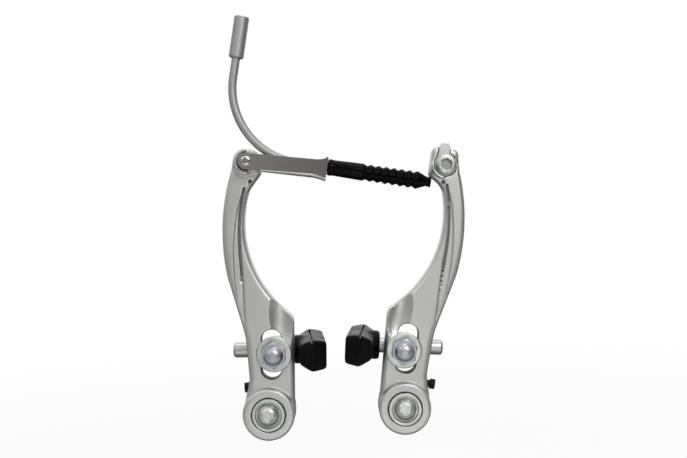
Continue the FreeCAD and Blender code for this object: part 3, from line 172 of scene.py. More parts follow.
class BRAKE_PG_sizes(PropertyGroup):
    """Sizes of the softened and soft pieces"""

    casting_voxel: length("Casting voxel", "Grid on which the castings are softened", 0.0004)
    block_voxel: length("Block voxel", "Grid on which the brake blocks are softened", 0.0004)
    block_ridge: length("Block ridge", "Braking face to the block's widest place", 0.0064)
    block_half: length("Block half height", "Half of the block's height at its widest place", 0.0069)
    block_nose: length("Block nose", "Block's middle to the tip of its nose", 0.026)
    seam_width: length("Seam width", "Groove along the block's top, between its two rubbers", 0.0008)
    seam_depth: length("Seam depth", "Depth of that groove", 0.0014)
    seam_short: length("Seam stop", "The groove stops so far before the block's rear end", 0.005)
    rain_width: length("Rain groove width", "Grooves across the braking face", 0.0014)
    rain_depth: length("Rain groove depth", "Depth of those grooves", 0.0020)
    rain_place: length("Rain groove place", "Block's middle to each groove", 0.011)
    bead_radius: length("Bead radius", "Moulding bead down the block's nose", 0.00035)
    bead_length: length("Bead length", "Length of that bead", 0.0085)
    fold_round: length("Fold rounding", "Rounding of the carrier's two folds", 0.0016)
    fold_reach: length("Fold reach", "Rivet to where the carrier's folded floor starts", 0.0070)
    fold_lead: length("Fold lead", "The rounding starts so far before that floor", 0.0008)
    fold_drop: length("Fold drop", "The folds lie so far under the rivet", 0.0020)
    fold_slope: FloatProperty(name="Fold slope", description="Fall of the folds per length", default=0.11)
    fold_corner: length("Fold corner", "Edges narrower than this across are the sheet's corners", 0.0004)
    fold_flat: length("Fold flatness", "How near the folds lie to the sheet's outer faces", 0.00001)
    fastener_round: length("Fastener rounding", "Rounding of the fasteners' edges", 0.00018)
    sheet_round: length("Sheet rounding", "Rounding of the carrier's edges", 0.00028)
    boot_round: length("Boot rounding", "Rounding of the boot's ridges", 0.0004)
    slot_half: length("Slot half length", "Slot's middle to the middle of its round end", 0.0063)
    slot_radius: length("Slot radius", "Half of the slot's width", 0.0044)
    slot_side: length("Slot side", "Eye bolt's place across the slot, towards the rim", 0.00125)
    left_slot_rise: length("Left slot rise", "Left eye bolt above the slot's middle", 0.00025)
    right_slot_rise: length("Right slot rise", "Right eye bolt above the slot's middle", -0.0008)
    # The painted shade on the slot walls is full so far out from the wall, and ends so far out
    slot_shade_full: length("Slot skin full", "The slot's dark skin is full so far out from its wall", 0.0001)
    slot_shade_end: length("Slot skin end", "The slot's dark skin ends so far out from its wall", 0.0004)
    boss_spacing: length("Boss spacing", "Left pivot to right pivot", 0.0587)
    spring_fixed_z: length("Spring's fixed height", "Spring below this stays with the mount", 0.009)
    spring_free_z: length("Spring's free height", "Spring above this goes with the arm", 0.019)


class BRAKE_PG_stage(PropertyGroup):
    """Camera and floor"""

    camera_x: length("Camera across", "Camera's place across the brake", 0.03563)
    camera_z: length("Camera height", "Camera's height over the pivots", 0.07831)
    front_y: length("Front plane", "Plane of the arms' fronts", -0.0228)
    distance: length("Distance", "Camera to the plane of the arms' fronts", 0.420)
    pixel: length("Pixel", "Size of one picture element in that plane", 0.0004314)
    roll: FloatProperty(
        name="Roll",
        description="Camera's turn about its own axis",
        default=math.radians(2.53),
        subtype="ANGLE",
    )
    floor_z: length("Floor height", "Floor's height under the pivots", -0.055)
    floor_size: length("Floor size", "Side of the square floor", 3.0)
    floor_front: length("Floor front", "How far the floor reaches towards the camera", 0.16)
    floor_glow: FloatProperty(
        name="Floor glow",
        description="Share of plain white in the floor as it is seen",
        default=0.9,
        subtype="FACTOR",
    )


# Node helpers


class Shader:
    """Builds one material's nodes."""

    def __init__(self, name):
        self.material = bpy.data.materials.new(name)
        self.material.use_nodes = True
        self.nodes = self.material.node_tree.nodes
        self.links = self.material.node_tree.links
        self.nodes.clear()
        self.output = self.nodes.new("ShaderNodeOutputMaterial")
        self.surface = self.nodes.new("ShaderNodeBsdfPrincipled")
        self.links.new(self.surface.outputs["BSDF"], self.output.inputs["Surface"])
        self.place = self.nodes.new("ShaderNodeTexCoord").outputs["Object"]

    def set(self, **values):
        for socket, value in values.items():
            self.surface.inputs[socket.replace("_", " ")].default_value = value

    def feed(self, source, socket):
        self.links.new(source, self.surface.inputs[socket])

    def group(self, tree, **values):
        node = self.nodes.new("ShaderNodeGroup")
        node.node_tree = tree
        self.links.new(self.place, node.inputs["Place"])
        for socket, value in values.items():
            node.inputs[socket.replace("_", " ")].default_value = value
        return node

    def bump(self, height, strength, distance, normal=None):
        node = self.nodes.new("ShaderNodeBump")
        node.inputs["Strength"].default_value = strength
        node.inputs["Distance"].default_value = distance
        self.links.new(height, node.inputs["Height"])
        if normal is not None:
            self.links.new(normal, node.inputs["Normal"])
        return node.outputs["Normal"]


def new_group(name, inputs, outputs):
    """A shader node group with a Place input. Inputs and outputs are (name, socket type, default)."""
    tree = bpy.data.node_groups.new(name, "ShaderNodeTree")
    tree.interface.new_socket("Place", in_out="INPUT", socket_type="NodeSocketVector")
    for label, kind, default in inputs:
        socket = tree.interface.new_socket(label, in_out="INPUT", socket_type=kind)
        socket.default_value = default
    for label, kind in outputs:
        tree.interface.new_socket(label, in_out="OUTPUT", socket_type=kind)
    return tree, tree.nodes.new("NodeGroupInput"), tree.nodes.new("NodeGroupOutput")


def noise(tree, place, scale, detail, stretch=(1.0, 1.0, 1.0)):
    mapping = tree.nodes.new("ShaderNodeMapping")
    mapping.inputs["Scale"].default_value = stretch
    tree.links.new(place, mapping.inputs["Vector"])
    texture = tree.nodes.new("ShaderNodeTexNoise")
    texture.inputs["Detail"].default_value = detail
    if isinstance(scale, float):
        texture.inputs["Scale"].default_value = scale
    else:
        tree.links.new(scale, texture.inputs["Scale"])
    tree.links.new(mapping.outputs["Vector"], texture.inputs["Vector"])
    return texture.outputs["Fac"]


def spread(tree, value, low, high):
    """Maps a noise value from its middle range to low..high sockets."""
    node = tree.nodes.new("ShaderNodeMapRange")
    node.inputs["From Min"].default_value, node.inputs["From Max"].default_value = NOISE_RANGE
    tree.links.new(value, node.inputs["Value"])
    tree.links.new(low, node.inputs["To Min"])
    tree.links.new(high, node.inputs["To Max"])
    return node.outputs["Result"]


def mottled_group():
    """Colour and roughness that drift over a surface, and a fine height for its grain."""
    tree, given, result = new_group(
        "MottledSurface",
        [
            ("Light", "NodeSocketColor", (0.5, 0.5, 0.5, 1.0)),
            ("Dark", "NodeSocketColor", (0.4, 0.4, 0.4, 1.0)),
            ("Patch Scale", "NodeSocketFloat", 60.0),
            ("Grain Scale", "NodeSocketFloat", 900.0),
            ("Smooth", "NodeSocketFloat", 0.25),
            ("Rough", "NodeSocketFloat", 0.4),
        ],
        [("Color", "NodeSocketColor"), ("Roughness", "NodeSocketFloat"), ("Grain", "NodeSocketFloat")],
    )
    patches = noise(tree, given.outputs["Place"], given.outputs["Patch Scale"], 5.0)
    grain = noise(tree, given.outputs["Place"], given.outputs["Grain Scale"], 3.0)
    mix = tree.nodes.new("ShaderNodeMix")
    mix.data_type = "RGBA"
    tree.links.new(patches, mix.inputs["Factor"])
    tree.links.new(given.outputs["Light"], mix.inputs["A"])
    tree.links.new(given.outputs["Dark"], mix.inputs["B"])
    tree.links.new(mix.outputs["Result"], result.inputs["Color"])
    roughness = spread(tree, patches, given.outputs["Smooth"], given.outputs["Rough"])
    tree.links.new(roughness, result.inputs["Roughness"])
    tree.links.new(grain, result.inputs["Grain"])
    return tree


def shade_and_wear_group():
    """Painted shade in hollows and a light polish on edges, from the surface's curvature."""
    tree, given, result = new_group(
        "HollowShadeAndEdgeWear",
        [
            ("Curvature", "NodeSocketFloat", 0.5),
            ("Color", "NodeSocketColor", (0.5, 0.5, 0.5, 1.0)),
            ("Roughness", "NodeSocketFloat", 0.4),
            ("Hollow", "NodeSocketColor", (0.1, 0.1, 0.1, 1.0)),
            ("Edge", "NodeSocketColor", (0.7, 0.7, 0.7, 1.0)),
        ],
        [("Color", "NodeSocketColor"), ("Roughness", "NodeSocketFloat")],
    )
    hollow_shade = ramp(tree, given.outputs["Curvature"], HOLLOW_SHADE_CURVATURE)
    edge = ramp(tree, given.outputs["Curvature"], EDGE_CURVATURE)
    colour_now = given.outputs["Color"]
    for mask, label in ((hollow_shade, "Hollow"), (edge, "Edge")):
        mix = tree.nodes.new("ShaderNodeMix")
        mix.data_type = "RGBA"
        tree.links.new(mask, mix.inputs["Factor"])
        tree.links.new(colour_now, mix.inputs["A"])
        tree.links.new(given.outputs[label], mix.inputs["B"])
        colour_now = mix.outputs["Result"]
    tree.links.new(colour_now, result.inputs["Color"])
    rougher = tree.nodes.new("ShaderNodeMath")
    rougher.operation = "MULTIPLY_ADD"
    rougher.inputs[1].default_value = HOLLOW_EXTRA_ROUGHNESS
    tree.links.new(hollow_shade, rougher.inputs[0])
    tree.links.new(given.outputs["Roughness"], rougher.inputs[2])
    tree.links.new(rougher.outputs["Value"], result.inputs["Roughness"])
    return tree


def grade_group():
    """A colour that is tinted more and more from one place across to another."""
    tree, given, result = new_group(
        "GradeAcross",
        [
            ("Start", "NodeSocketFloat", 0.0),
            ("End", "NodeSocketFloat", 0.03),
            ("Color", "NodeSocketColor", (0.5, 0.5, 0.5, 1.0)),
            ("Tint", "NodeSocketColor", (0.5, 0.5, 0.5, 1.0)),
        ],
        [("Color", "NodeSocketColor")],
    )
    parts = tree.nodes.new("ShaderNodeSeparateXYZ")
    tree.links.new(given.outputs["Place"], parts.inputs["Vector"])
    share = tree.nodes.new("ShaderNodeMapRange")
    tree.links.new(parts.outputs["X"], share.inputs["Value"])
    tree.links.new(given.outputs["Start"], share.inputs["From Min"])
    tree.links.new(given.outputs["End"], share.inputs["From Max"])
    mix = tree.nodes.new("ShaderNodeMix")
    mix.data_type = "RGBA"
    mix.blend_type = "MULTIPLY"
    tree.links.new(share.outputs["Result"], mix.inputs["Factor"])
    tree.links.new(given.outputs["Color"], mix.inputs["A"])
    tree.links.new(given.outputs["Tint"], mix.inputs["B"])
    tree.links.new(mix.outputs["Result"], result.inputs["Color"])
    return tree


def slot_shade_group():
    """Painted shade inside a round-ended slot that runs through the arm from front to back."""
    tree, given, result = new_group(
        "SlotPaintedShade",
        [
            ("Middle", "NodeSocketVector", (0.0, 0.0, 0.0)),
            ("Along", "NodeSocketVector", (0.0, 0.0, 1.0)),
            ("Half", "NodeSocketFloat", 0.006),
            ("Inside", "NodeSocketFloat", 0.0045),
            ("Outside", "NodeSocketFloat", 0.0048),
            ("Color", "NodeSocketColor", (0.5, 0.5, 0.5, 1.0)),
            ("Skin", "NodeSocketColor", (0.05, 0.05, 0.05, 1.0)),
        ],
        [("Color", "NodeSocketColor")],
    )
    flat = vector_math(tree, "MULTIPLY", given.outputs["Place"], (1.0, 0.0, 1.0))
    away = vector_math(tree, "SUBTRACT", flat.outputs["Vector"], given.outputs["Middle"])
    along = vector_math(tree, "DOT_PRODUCT", away.outputs["Vector"], given.outputs["Along"])
    low = join(tree, "MULTIPLY", given.outputs["Half"], -1.0)
    held = tree.nodes.new("ShaderNodeClamp")
    tree.links.new(along.outputs["Value"], held.inputs["Value"])
    tree.links.new(low, held.inputs["Min"])
    tree.links.new(given.outputs["Half"], held.inputs["Max"])
    nearest = tree.nodes.new("ShaderNodeVectorMath")
    nearest.operation = "SCALE"
    tree.links.new(given.outputs["Along"], nearest.inputs[0])
    tree.links.new(held.outputs["Result"], nearest.inputs["Scale"])
    apart = vector_math(tree, "DISTANCE", away.outputs["Vector"], nearest.outputs["Vector"])
    share = tree.nodes.new("ShaderNodeMapRange")
    tree.links.new(apart.outputs["Value"], share.inputs["Value"])
    tree.links.new(given.outputs["Outside"], share.inputs["From Min"])
    tree.links.new(given.outputs["Inside"], share.inputs["From Max"])
    mix = tree.nodes.new("ShaderNodeMix")
    mix.data_type = "RGBA"
    tree.links.new(share.outputs["Result"], mix.inputs["Factor"])
    tree.links.new(given.outputs["Color"], mix.inputs["A"])
    tree.links.new(given.outputs["Skin"], mix.inputs["B"])
    tree.links.new(mix.outputs["Result"], result.inputs["Color"])
    return tree


def vector_math(tree, operation, first, second):
    """A vector node fed by sockets, or by plain numbers in second."""
    node = tree.nodes.new("ShaderNodeVectorMath")
    node.operation = operation
    tree.links.new(first, node.inputs[0])
    if isinstance(second, tuple):
        node.inputs[1].default_value = second
    else:
        tree.links.new(second, node.inputs[1])
    return node


def ramp(tree, value, given, made=(0.0, 1.0)):
    """Leads a value smoothly from the first made number to the second over the given range."""
    node = tree.nodes.new("ShaderNodeMapRange")
    node.interpolation_type = "SMOOTHSTEP"
    node.inputs["From Min"].default_value, node.inputs["From Max"].default_value = given
    node.inputs["To Min"].default_value, node.inputs["To Max"].default_value = made
    tree.links.new(value, node.inputs["Value"])
    return node.outputs["Result"]


def axis_place(tree, space, axis):
    """One coordinate of the shaded point, or of a direction in the room."""
    place = tree.nodes.new("ShaderNodeTexCoord")
    parts = tree.nodes.new("ShaderNodeSeparateXYZ")
    tree.links.new(place.outputs[space], parts.inputs["Vector"])
    return parts.outputs[axis]


def join(tree, operation, first, second):
    """A number node fed by two sockets, or by a plain number in second."""
    node = tree.nodes.new("ShaderNodeMath")
    node.operation = operation
    tree.links.new(first, node.inputs[0])
    if isinstance(second, float):
        node.inputs[1].default_value = second
    else:
        tree.links.new(second, node.inputs[1])
    return node.outputs["Value"]


def seen_directly(tree, *labels):
    """1 for rays of the labelled kinds, such as those from the camera, else 0."""
    path = tree.nodes.new("ShaderNodeLightPath")
    most = path.outputs[labels[0]]
    for label in labels[1:]:
        most = join(tree, "MAXIMUM", most, path.outputs[label])
    return most


def shade(base, factor):
    """A colour made lighter or darker, with alpha for a node socket."""
    return tuple(min(1.0, channel * factor) for channel in base) + (1.0,)


class Finishes:
    """The materials, made once and shared by the pieces."""

    made = {}

    @classmethod
    def get(cls, name):
        return cls.made[name]

    @classmethod
    def mottled(cls, name, base, metallic, smooth, rough, patch, grain, bump, contrast, **values):
        """A finish whose colour and roughness drift, with a fine grain in its bump."""
        finish = Shader(name)
        tree = bpy.data.node_groups.get("MottledSurface") or mottled_group()
        node = finish.group(
            tree,
            Light=shade(base, 1.0 + contrast / 2),
            Dark=shade(base, 1.0 - contrast / 2),
            Patch_Scale=patch,
            Grain_Scale=grain,
            Smooth=smooth,
            Rough=rough,
        )
        finish.set(Metallic=metallic, **values)
        finish.feed(node.outputs["Color"], "Base Color")
        finish.feed(node.outputs["Roughness"], "Roughness")
        finish.feed(finish.bump(node.outputs["Grain"], 1.0, bump), "Normal")
        finish.colour_now = node.outputs["Color"]
        finish.roughness_now = node.outputs["Roughness"]
        cls.made[name] = finish.material
        return finish

    @classmethod
    def shaded_and_worn(cls, finish, hollow_shade, edge):
        """Adds painted shade in the hollows and polish on the edges of a finish."""
        tree = bpy.data.node_groups.get("HollowShadeAndEdgeWear") or shade_and_wear_group()
        node = finish.nodes.new("ShaderNodeGroup")
        node.node_tree = tree
        node.inputs["Hollow"].default_value = hollow_shade
        node.inputs["Edge"].default_value = edge
        geometry = finish.nodes.new("ShaderNodeNewGeometry")
        finish.links.new(geometry.outputs["Pointiness"], node.inputs["Curvature"])
        finish.links.new(finish.colour_now, node.inputs["Color"])
        finish.links.new(finish.roughness_now, node.inputs["Roughness"])
        finish.feed(node.outputs["Roughness"], "Roughness")
        cls.recolour(finish, node)

    @classmethod
    def recolour(cls, finish, node):
        finish.colour_now = node.outputs["Color"]
        finish.feed(finish.colour_now, "Base Color")

    @classmethod
    def tinted(cls, finish, tree, **values):
        """Passes the colour of a finish through one more group."""
        node = finish.group(tree, **values)
        finish.links.new(finish.colour_now, node.inputs["Color"])
        cls.recolour(finish, node)


def dress(node_names, finish):
    """Gives CAD nodes one of the finishes."""
    for name in node_names:
        node = frame["nodes"][name]
        node.data.materials.clear()
        node.data.materials.append(Finishes.get(finish))


def both(*pieces):
    return [f"{side}_{piece}" for piece in pieces for side in SIDES]


# Modelling helpers


def only(piece):
    """Selects one piece and nothing else."""
    bpy.ops.object.select_all(action="DESELECT")
    piece.select_set(True)
    bpy.context.view_layer.objects.active = piece


def edit(piece):
    """Opens a piece in edit mode with everything selected."""
    only(piece)
    bpy.ops.object.mode_set(mode="EDIT")
    bpy.ops.mesh.select_all(action="SELECT")


def leave_edit():
    bpy.ops.object.mode_set(mode="OBJECT")


def modify(piece, kind, **values):
    """Adds a modifier, sets it and applies it."""
    only(piece)
    bpy.ops.object.modifier_add(type=kind)
    modifier = piece.modifiers[-1]
    for name, value in values.items():
        setattr(modifier, name, value)
    bpy.ops.object.modifier_apply(modifier=modifier.name)


def copy_of(node_name, name, flat_angle):
    """A free copy of a CAD node, its triangles merged into whole faces where they lie flat."""
    piece = bpy.data.objects.new(name, frame["nodes"][node_name].data.copy())
    bpy.context.scene.collection.objects.link(piece)
    edit(piece)
    bpy.ops.mesh.customdata_custom_splitnormals_clear()
    bpy.ops.mesh.remove_doubles(threshold=MERGE_DISTANCE)
    if flat_angle:
        bpy.ops.mesh.dissolve_limited(angle_limit=flat_angle)
    leave_edit()
    return piece


def clean(piece):
    """Takes out faces without area and slivers folded onto themselves, which rounding and cutting leave."""
    edit(piece)
    bpy.ops.mesh.dissolve_degenerate(threshold=MERGE_DISTANCE)
    bpy.ops.mesh.remove_doubles(threshold=MERGE_DISTANCE)
    bpy.ops.mesh.select_all(action="DESELECT")
    bpy.ops.mesh.select_mode(type="VERT")
    leave_edit()
    uses = [0] * len(piece.data.vertices)
    for edge in piece.data.edges:
        for number in edge.vertices:
            uses[number] += 1
    for corner in piece.data.vertices:
        corner.select = uses[corner.index] == 2
    bpy.ops.object.mode_set(mode="EDIT")
    bpy.ops.mesh.dissolve_verts()
    leave_edit()


def smooth(piece, angle):
    only(piece)
    bpy.ops.object.shade_smooth_by_angle(angle=angle)


def even_normals(piece):
    """Keeps large flat faces flat in the shading beside their rounded edges."""
    modify(piece, "WEIGHTED_NORMAL", mode="FACE_AREA", weight=FLAT_FACE_WEIGHT, keep_sharp=True)


def stand_for(piece, node_name, finish):
    """Puts a finished piece in the place of a CAD node."""
    piece.data.materials.clear()
    piece.data.materials.append(Finishes.get(finish))
    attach(piece, frame["nodes"][node_name]["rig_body"])
    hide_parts(node_name)


def softened(node_name, name, voxel, rounds):
    """A copy of a CAD node with its edges softened as casting or moulding leaves them."""
    piece = copy_of(node_name, name, 0.0)
    only(piece)
    piece.data.remesh_voxel_size = voxel
    piece.data.use_remesh_preserve_volume = True
    bpy.ops.object.voxel_remesh()
    modify(piece, "SMOOTH", factor=0.5, iterations=rounds)
    return piece


def combine(piece, tool, operation):
    """Cuts or joins one mesh with another, which is used up."""
    modify(piece, "BOOLEAN", object=tool, operation=operation, solver="EXACT")
    mesh = tool.data
    bpy.data.objects.remove(tool)
    bpy.data.meshes.remove(mesh)


def mount(name):
    """Place and axis of one of the brake's mounts."""
    found = next(row for row in frame["record"]["mounts"] if row["name"] == name)
    return Vector(found["pos_m"]), Vector(found["axis"]).normalized()


def slide_axis(name):
    """Direction of one of the brake's joints."""
    found = next(row for row in frame["record"]["behaviour"]["joints"] if row["name"] == name)
    return Vector(found["axis"]).normalized()


def round_edges(piece, width, segments, angle, cleaned):
    """Rounds the edges of a piece that are sharper than an angle."""
    modify(
        piece, "BEVEL", width=width, segments=segments, limit_method="ANGLE", angle_limit=angle,
        use_clamp_overlap=True,
    )
    if cleaned:
        clean(piece)
    smooth(piece, PIECE_SMOOTH_ANGLE)
    even_normals(piece)


def rounded_copy(node_name, width, finish, segments=3, cleaned=False):
    """Stands for a CAD node with its sharp edges rounded, and cleaned where the rounding leaves slivers."""
    piece = copy_of(node_name, f"{node_name}_finished", FLAT_ANGLE)
    round_edges(piece, width, segments, BEVEL_ANGLE, cleaned)
    stand_for(piece, node_name, finish)
    return piece


# Operators


class BRAKE_OT_finishes(Operator):
    """Makes the finishes that the pieces share"""

    bl_idname = "brake.finishes"
    bl_label = "Make finishes"

    def execute(self, context):
        tint = context.scene.brake_colours
        metal, plain = {"metallic": 1.0}, {"metallic": 0.0}
        dull, glossy = {"Specular_IOR_Level": 0.1}, {"Specular_IOR_Level": 0.06}
        casting = Finishes.mottled(
            "cast_aluminium", tint.casting, smooth=0.38, rough=0.5, patch=45.0, grain=700.0, bump=0.00001,
            contrast=0.14, **metal,
        )
        # Painted shade in the casting's hollows, a light polish on its edges
        Finishes.shaded_and_worn(casting, shade(tint.casting, 0.45), shade(tint.casting, 1.05))
        # Painted shade on the walls of both slots
        self.paint_slot_shade(casting, context.scene.brake_sizes, shade(tint.casting, 0.06))
        zinc = Finishes.mottled(
            "zinc_plating", tint.zinc, smooth=0.32, rough=0.42, patch=160.0, grain=900.0, bump=0.000001,
            contrast=0.2, **metal,
        )
        # Painted shade in the plating's hollows, a light polish on its edges
        Finishes.shaded_and_worn(zinc, shade(tint.zinc, 0.12), shade(tint.zinc, 1.05))
        Finishes.mottled(
            "nut_plating", tint.nut, smooth=0.36, rough=0.46, patch=160.0, grain=900.0, bump=0.000001,
            contrast=0.15, **metal,
        )
        sheet = Finishes.mottled(
            "carrier_sheet", tint.sheet, smooth=0.12, rough=0.18, patch=90.0, grain=1200.0, bump=0.000004,
            contrast=0.16, **metal,
        )
        Finishes.tinted(sheet, grade_group(), Start=-0.004, End=0.03, Tint=(0.72, 0.68, 0.67, 1.0))
        Finishes.mottled(
            "satin_tube", tint.tube, smooth=0.5, rough=0.6, patch=120.0, grain=1800.0, bump=0.00001,
            contrast=0.12, **metal,
        )
        Finishes.mottled(
            "spring_wire", tint.spring, smooth=0.25, rough=0.4, patch=120.0, grain=2000.0, bump=0.00001,
            contrast=0.2, **metal,
        )
        Finishes.mottled(
            "block_rubber", tint.block, smooth=0.28, rough=0.45, patch=110.0, grain=1400.0, bump=0.00003,
            contrast=0.5, **plain, **dull,
        )
        Finishes.mottled(
            "boot_rubber", tint.boot, smooth=0.1, rough=0.16, patch=90.0, grain=1600.0, bump=0.000002,
            contrast=0.4, **plain, **glossy,
        )
        Finishes.mottled(
            "holder_plastic", tint.plastic, smooth=0.4, rough=0.55, patch=80.0, grain=1700.0, bump=0.00003,
            contrast=0.3, **plain,
        )
        Finishes.mottled(
            "black_screw", tint.plastic, smooth=0.3, rough=0.45, patch=150.0, grain=1700.0, bump=0.00002,
            contrast=0.3, **plain, **dull,
        )
        Finishes.mottled(
            "liner_plastic", tint.liner, smooth=0.35, rough=0.5, patch=80.0, grain=1500.0, bump=0.00001,
            contrast=0.1, **plain,
        )
        return {"FINISHED"}

    def paint_slot_shade(self, finish, sizes, painted_shade):
        """Paints shade on the walls of both slots."""
        tree = slot_shade_group()
        for side, sign, rise in (("left", 1.0, sizes.left_slot_rise), ("right", -1.0, sizes.right_slot_rise)):
            low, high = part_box(f"{side}_eye_bolt")
            along = slide_axis(f"{side}_shoe_height")
            across = Vector((along.z, 0.0, -along.x)) * sign
            bolt = Vector(((low[0] + high[0]) / 2, 0.0, (low[2] + high[2]) / 2))
            Finishes.tinted(
                finish,
                tree,
                Middle=bolt - across * sizes.slot_side - along * rise,
                Along=along,
                Half=sizes.slot_half,
                Inside=sizes.slot_radius + sizes.slot_shade_full,
                Outside=sizes.slot_radius + sizes.slot_shade_end,
                Skin=painted_shade,
            )


class BRAKE_OT_metalwork(Operator):
    """Finishes the CAD pieces that keep their shape"""

    bl_idname = "brake.metalwork"
    bl_label = "Finish metalwork"

    def execute(self, context):
        dress(both("pivot_bush", "spring_pin", "rear_washer"), "zinc_plating")
        dress(["guide_tube", "tube_ferrule"], "satin_tube")
        dress(["tube_liner"], "liner_plastic")
        dress(both("spring_holder"), "holder_plastic")
        return {"FINISHED"}


class BRAKE_OT_arms(Operator):
    """Softens the cast arms as tumbling and polishing leave them"""

    bl_idname = "brake.arms"
    bl_label = "Make arms"

    def execute(self, context):
        sizes = context.scene.brake_sizes
        for node in both("arm"):
            piece = softened(node, f"{node}_casting", sizes.casting_voxel, CASTING_ROUNDS)
            smooth(piece, CASTING_SMOOTH_ANGLE)
            stand_for(piece, node, "cast_aluminium")
        return {"FINISHED"}


class BRAKE_OT_fasteners(Operator):
    """Rounds the edges of the plated fasteners"""

    bl_idname = "brake.fasteners"
    bl_label = "Make fasteners"

    def execute(self, context):
        width = context.scene.brake_sizes.fastener_round
        plated = both("mounting_bolt", "bolt_washer", "front_washer", "eye_bolt", "shoe_post")
        for node in plated + ["cable_clamp_washer", "cable_anchor_bolt"]:
            rounded_copy(node, width, "zinc_plating")
        for node in both("cap_nut"):
            rounded_copy(node, width, "nut_plating")
        for node in both("tension_screw"):
            rounded_copy(node, width, "black_screw", cleaned=True)
        return {"FINISHED"}


class BRAKE_OT_blocks(Operator):
    """Makes the moulded rubber brake blocks"""

    bl_idname = "brake.blocks"
    bl_label = "Make brake blocks"

    def execute(self, context):
        sizes = context.scene.brake_sizes
        for side in SIDES:
            node = f"{side}_brake_block"
            piece = softened(node, f"{side}_rubber_block", sizes.block_voxel, BLOCK_ROUNDS)
            self.cut_seam(piece, side, sizes)
            self.cut_rain_grooves(piece, side, sizes)
            self.add_bead(piece, side, sizes)
            clean(piece)
            smooth(piece, BLOCK_SMOOTH_ANGLE)
            stand_for(piece, node, "block_rubber")
        return {"FINISHED"}

    def block_axes(self, side, sizes):
        """The middle of the block's widest place, and its directions towards the rim, back and up."""
        face, out = mount(f"{side}_brake_face")
        level = Vector((out.x, 0.0, out.z)).normalized()
        up = Vector((-level.z, 0.0, level.x))
        if up.z < 0.0:
            up.negate()
        along = up.cross(out)
        if along.y < 0.0:
            along.negate()
        return face - out * sizes.block_ridge, out, along, up

    def turn(self, across, along, up, place):
        """A matrix that stands a tool along three directions at a place."""
        turned = Matrix((across, along, up)).transposed().to_4x4()
        return Matrix.Translation(place) @ turned

    def cut_bar(self, piece, turned, size):
        """Cuts a straight bar out of a block."""
        bpy.ops.object.select_all(action="DESELECT")
        bpy.ops.mesh.primitive_cube_add(size=1.0)
        tool = bpy.context.object
        tool.scale = size
        bpy.ops.object.transform_apply(location=False, rotation=False, scale=True)
        tool.matrix_world = turned
        combine(piece, tool, "DIFFERENCE")

    def cut_seam(self, piece, side, sizes):
        middle, out, along, up = self.block_axes(side, sizes)
        centre = middle + up * (sizes.block_half + sizes.seam_depth) - along * sizes.seam_short
        turned = self.turn(out, along, up, centre)
        self.cut_bar(piece, turned, (sizes.seam_width, sizes.block_nose * 2, sizes.seam_depth * 4))

    def cut_rain_grooves(self, piece, side, sizes):
        middle, out, along, up = self.block_axes(side, sizes)
        face = middle + out * sizes.block_ridge
        for place in (-sizes.rain_place, sizes.rain_place):
            turned = self.turn(out, along, up, face + along * place)
            self.cut_bar(piece, turned, (sizes.rain_depth * 2, sizes.rain_width, sizes.block_half * 3))

    def add_bead(self, piece, side, sizes):
        middle, out, along, up = self.block_axes(side, sizes)
        bpy.ops.object.select_all(action="DESELECT")
        bpy.ops.mesh.primitive_uv_sphere_add(segments=24, ring_count=12, radius=1.0)
        tool = bpy.context.object
        tool.scale = (sizes.bead_radius, sizes.bead_radius * BEAD_DEPTH, sizes.bead_length / 2)
        bpy.ops.object.transform_apply(location=False, rotation=False, scale=True)
        reach = sizes.block_nose - sizes.bead_radius * BEAD_SET_BACK
        tool.matrix_world = self.turn(out, along, up, middle - along * reach)
        combine(piece, tool, "UNION")


class BRAKE_OT_boot(Operator):
    """Makes the bellows boot"""

    bl_idname = "brake.boot"
    bl_label = "Make rubber boot"

    def execute(self, context):
        width = context.scene.brake_sizes.boot_round
        rounded_copy("rubber_boot", width, "boot_rubber", segments=4, cleaned=True)
        return {"FINISHED"}


class BRAKE_OT_carrier(Operator):
    """Makes the folded sheet carrier of the cable guide"""

    bl_idname = "brake.carrier"
    bl_label = "Make carrier"

    def execute(self, context):
        sizes = context.scene.brake_sizes
        piece = copy_of("guide_carrier", "guide_carrier_sheet", FLAT_ANGLE)
        self.round_folds(piece, sizes)
        round_edges(piece, sizes.sheet_round, 2, SHEET_BEVEL_ANGLE, cleaned=True)
        stand_for(piece, "guide_carrier", "carrier_sheet")
        rounded_copy("carrier_rivet", sizes.sheet_round, "carrier_sheet")
        return {"FINISHED"}

    def round_folds(self, piece, sizes):
        """Rounds the two lower edges along which the sheet is folded."""
        low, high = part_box("carrier_rivet")
        rivet_x, rivet_z = (low[0] + high[0]) / 2, (low[2] + high[2]) / 2
        depths = [corner.co.y for corner in piece.data.vertices]
        faces = (min(depths), max(depths))
        edit(piece)
        bpy.ops.mesh.select_all(action="DESELECT")
        bpy.ops.mesh.select_mode(type="EDGE")
        leave_edit()
        for edge in piece.data.edges:
            ends = [piece.data.vertices[number].co for number in edge.vertices]
            flat = any(all(abs(end.y - face) < sizes.fold_flat for end in ends) for face in faces)
            beyond = all(end.x - rivet_x > sizes.fold_reach - sizes.fold_lead for end in ends)
            falls = [sizes.fold_drop + (end.x - rivet_x) * sizes.fold_slope for end in ends]
            under = all(rivet_z - end.z > fall for end, fall in zip(ends, falls))
            corner = abs(ends[0].x - ends[1].x) < sizes.fold_corner
            edge.select = flat and beyond and under and not corner
        bpy.ops.object.mode_set(mode="EDIT")
        bpy.ops.mesh.bevel(offset=sizes.fold_round, segments=6, clamp_overlap=False)
        leave_edit()


class BRAKE_OT_springs(Operator):
    """Makes the return springs"""

    bl_idname = "brake.springs"
    bl_label = "Make return springs"

    def execute(self, context):
        for side in SIDES:
            node = f"{side}_return_spring"
            piece = copy_of(node, f"{side}_spring_wire", 0.0)
            smooth(piece, WIRE_SMOOTH_ANGLE)
            piece.data.materials.clear()
            piece.data.materials.append(Finishes.get("spring_wire"))
            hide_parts(node)
            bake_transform(piece)
        return {"FINISHED"}


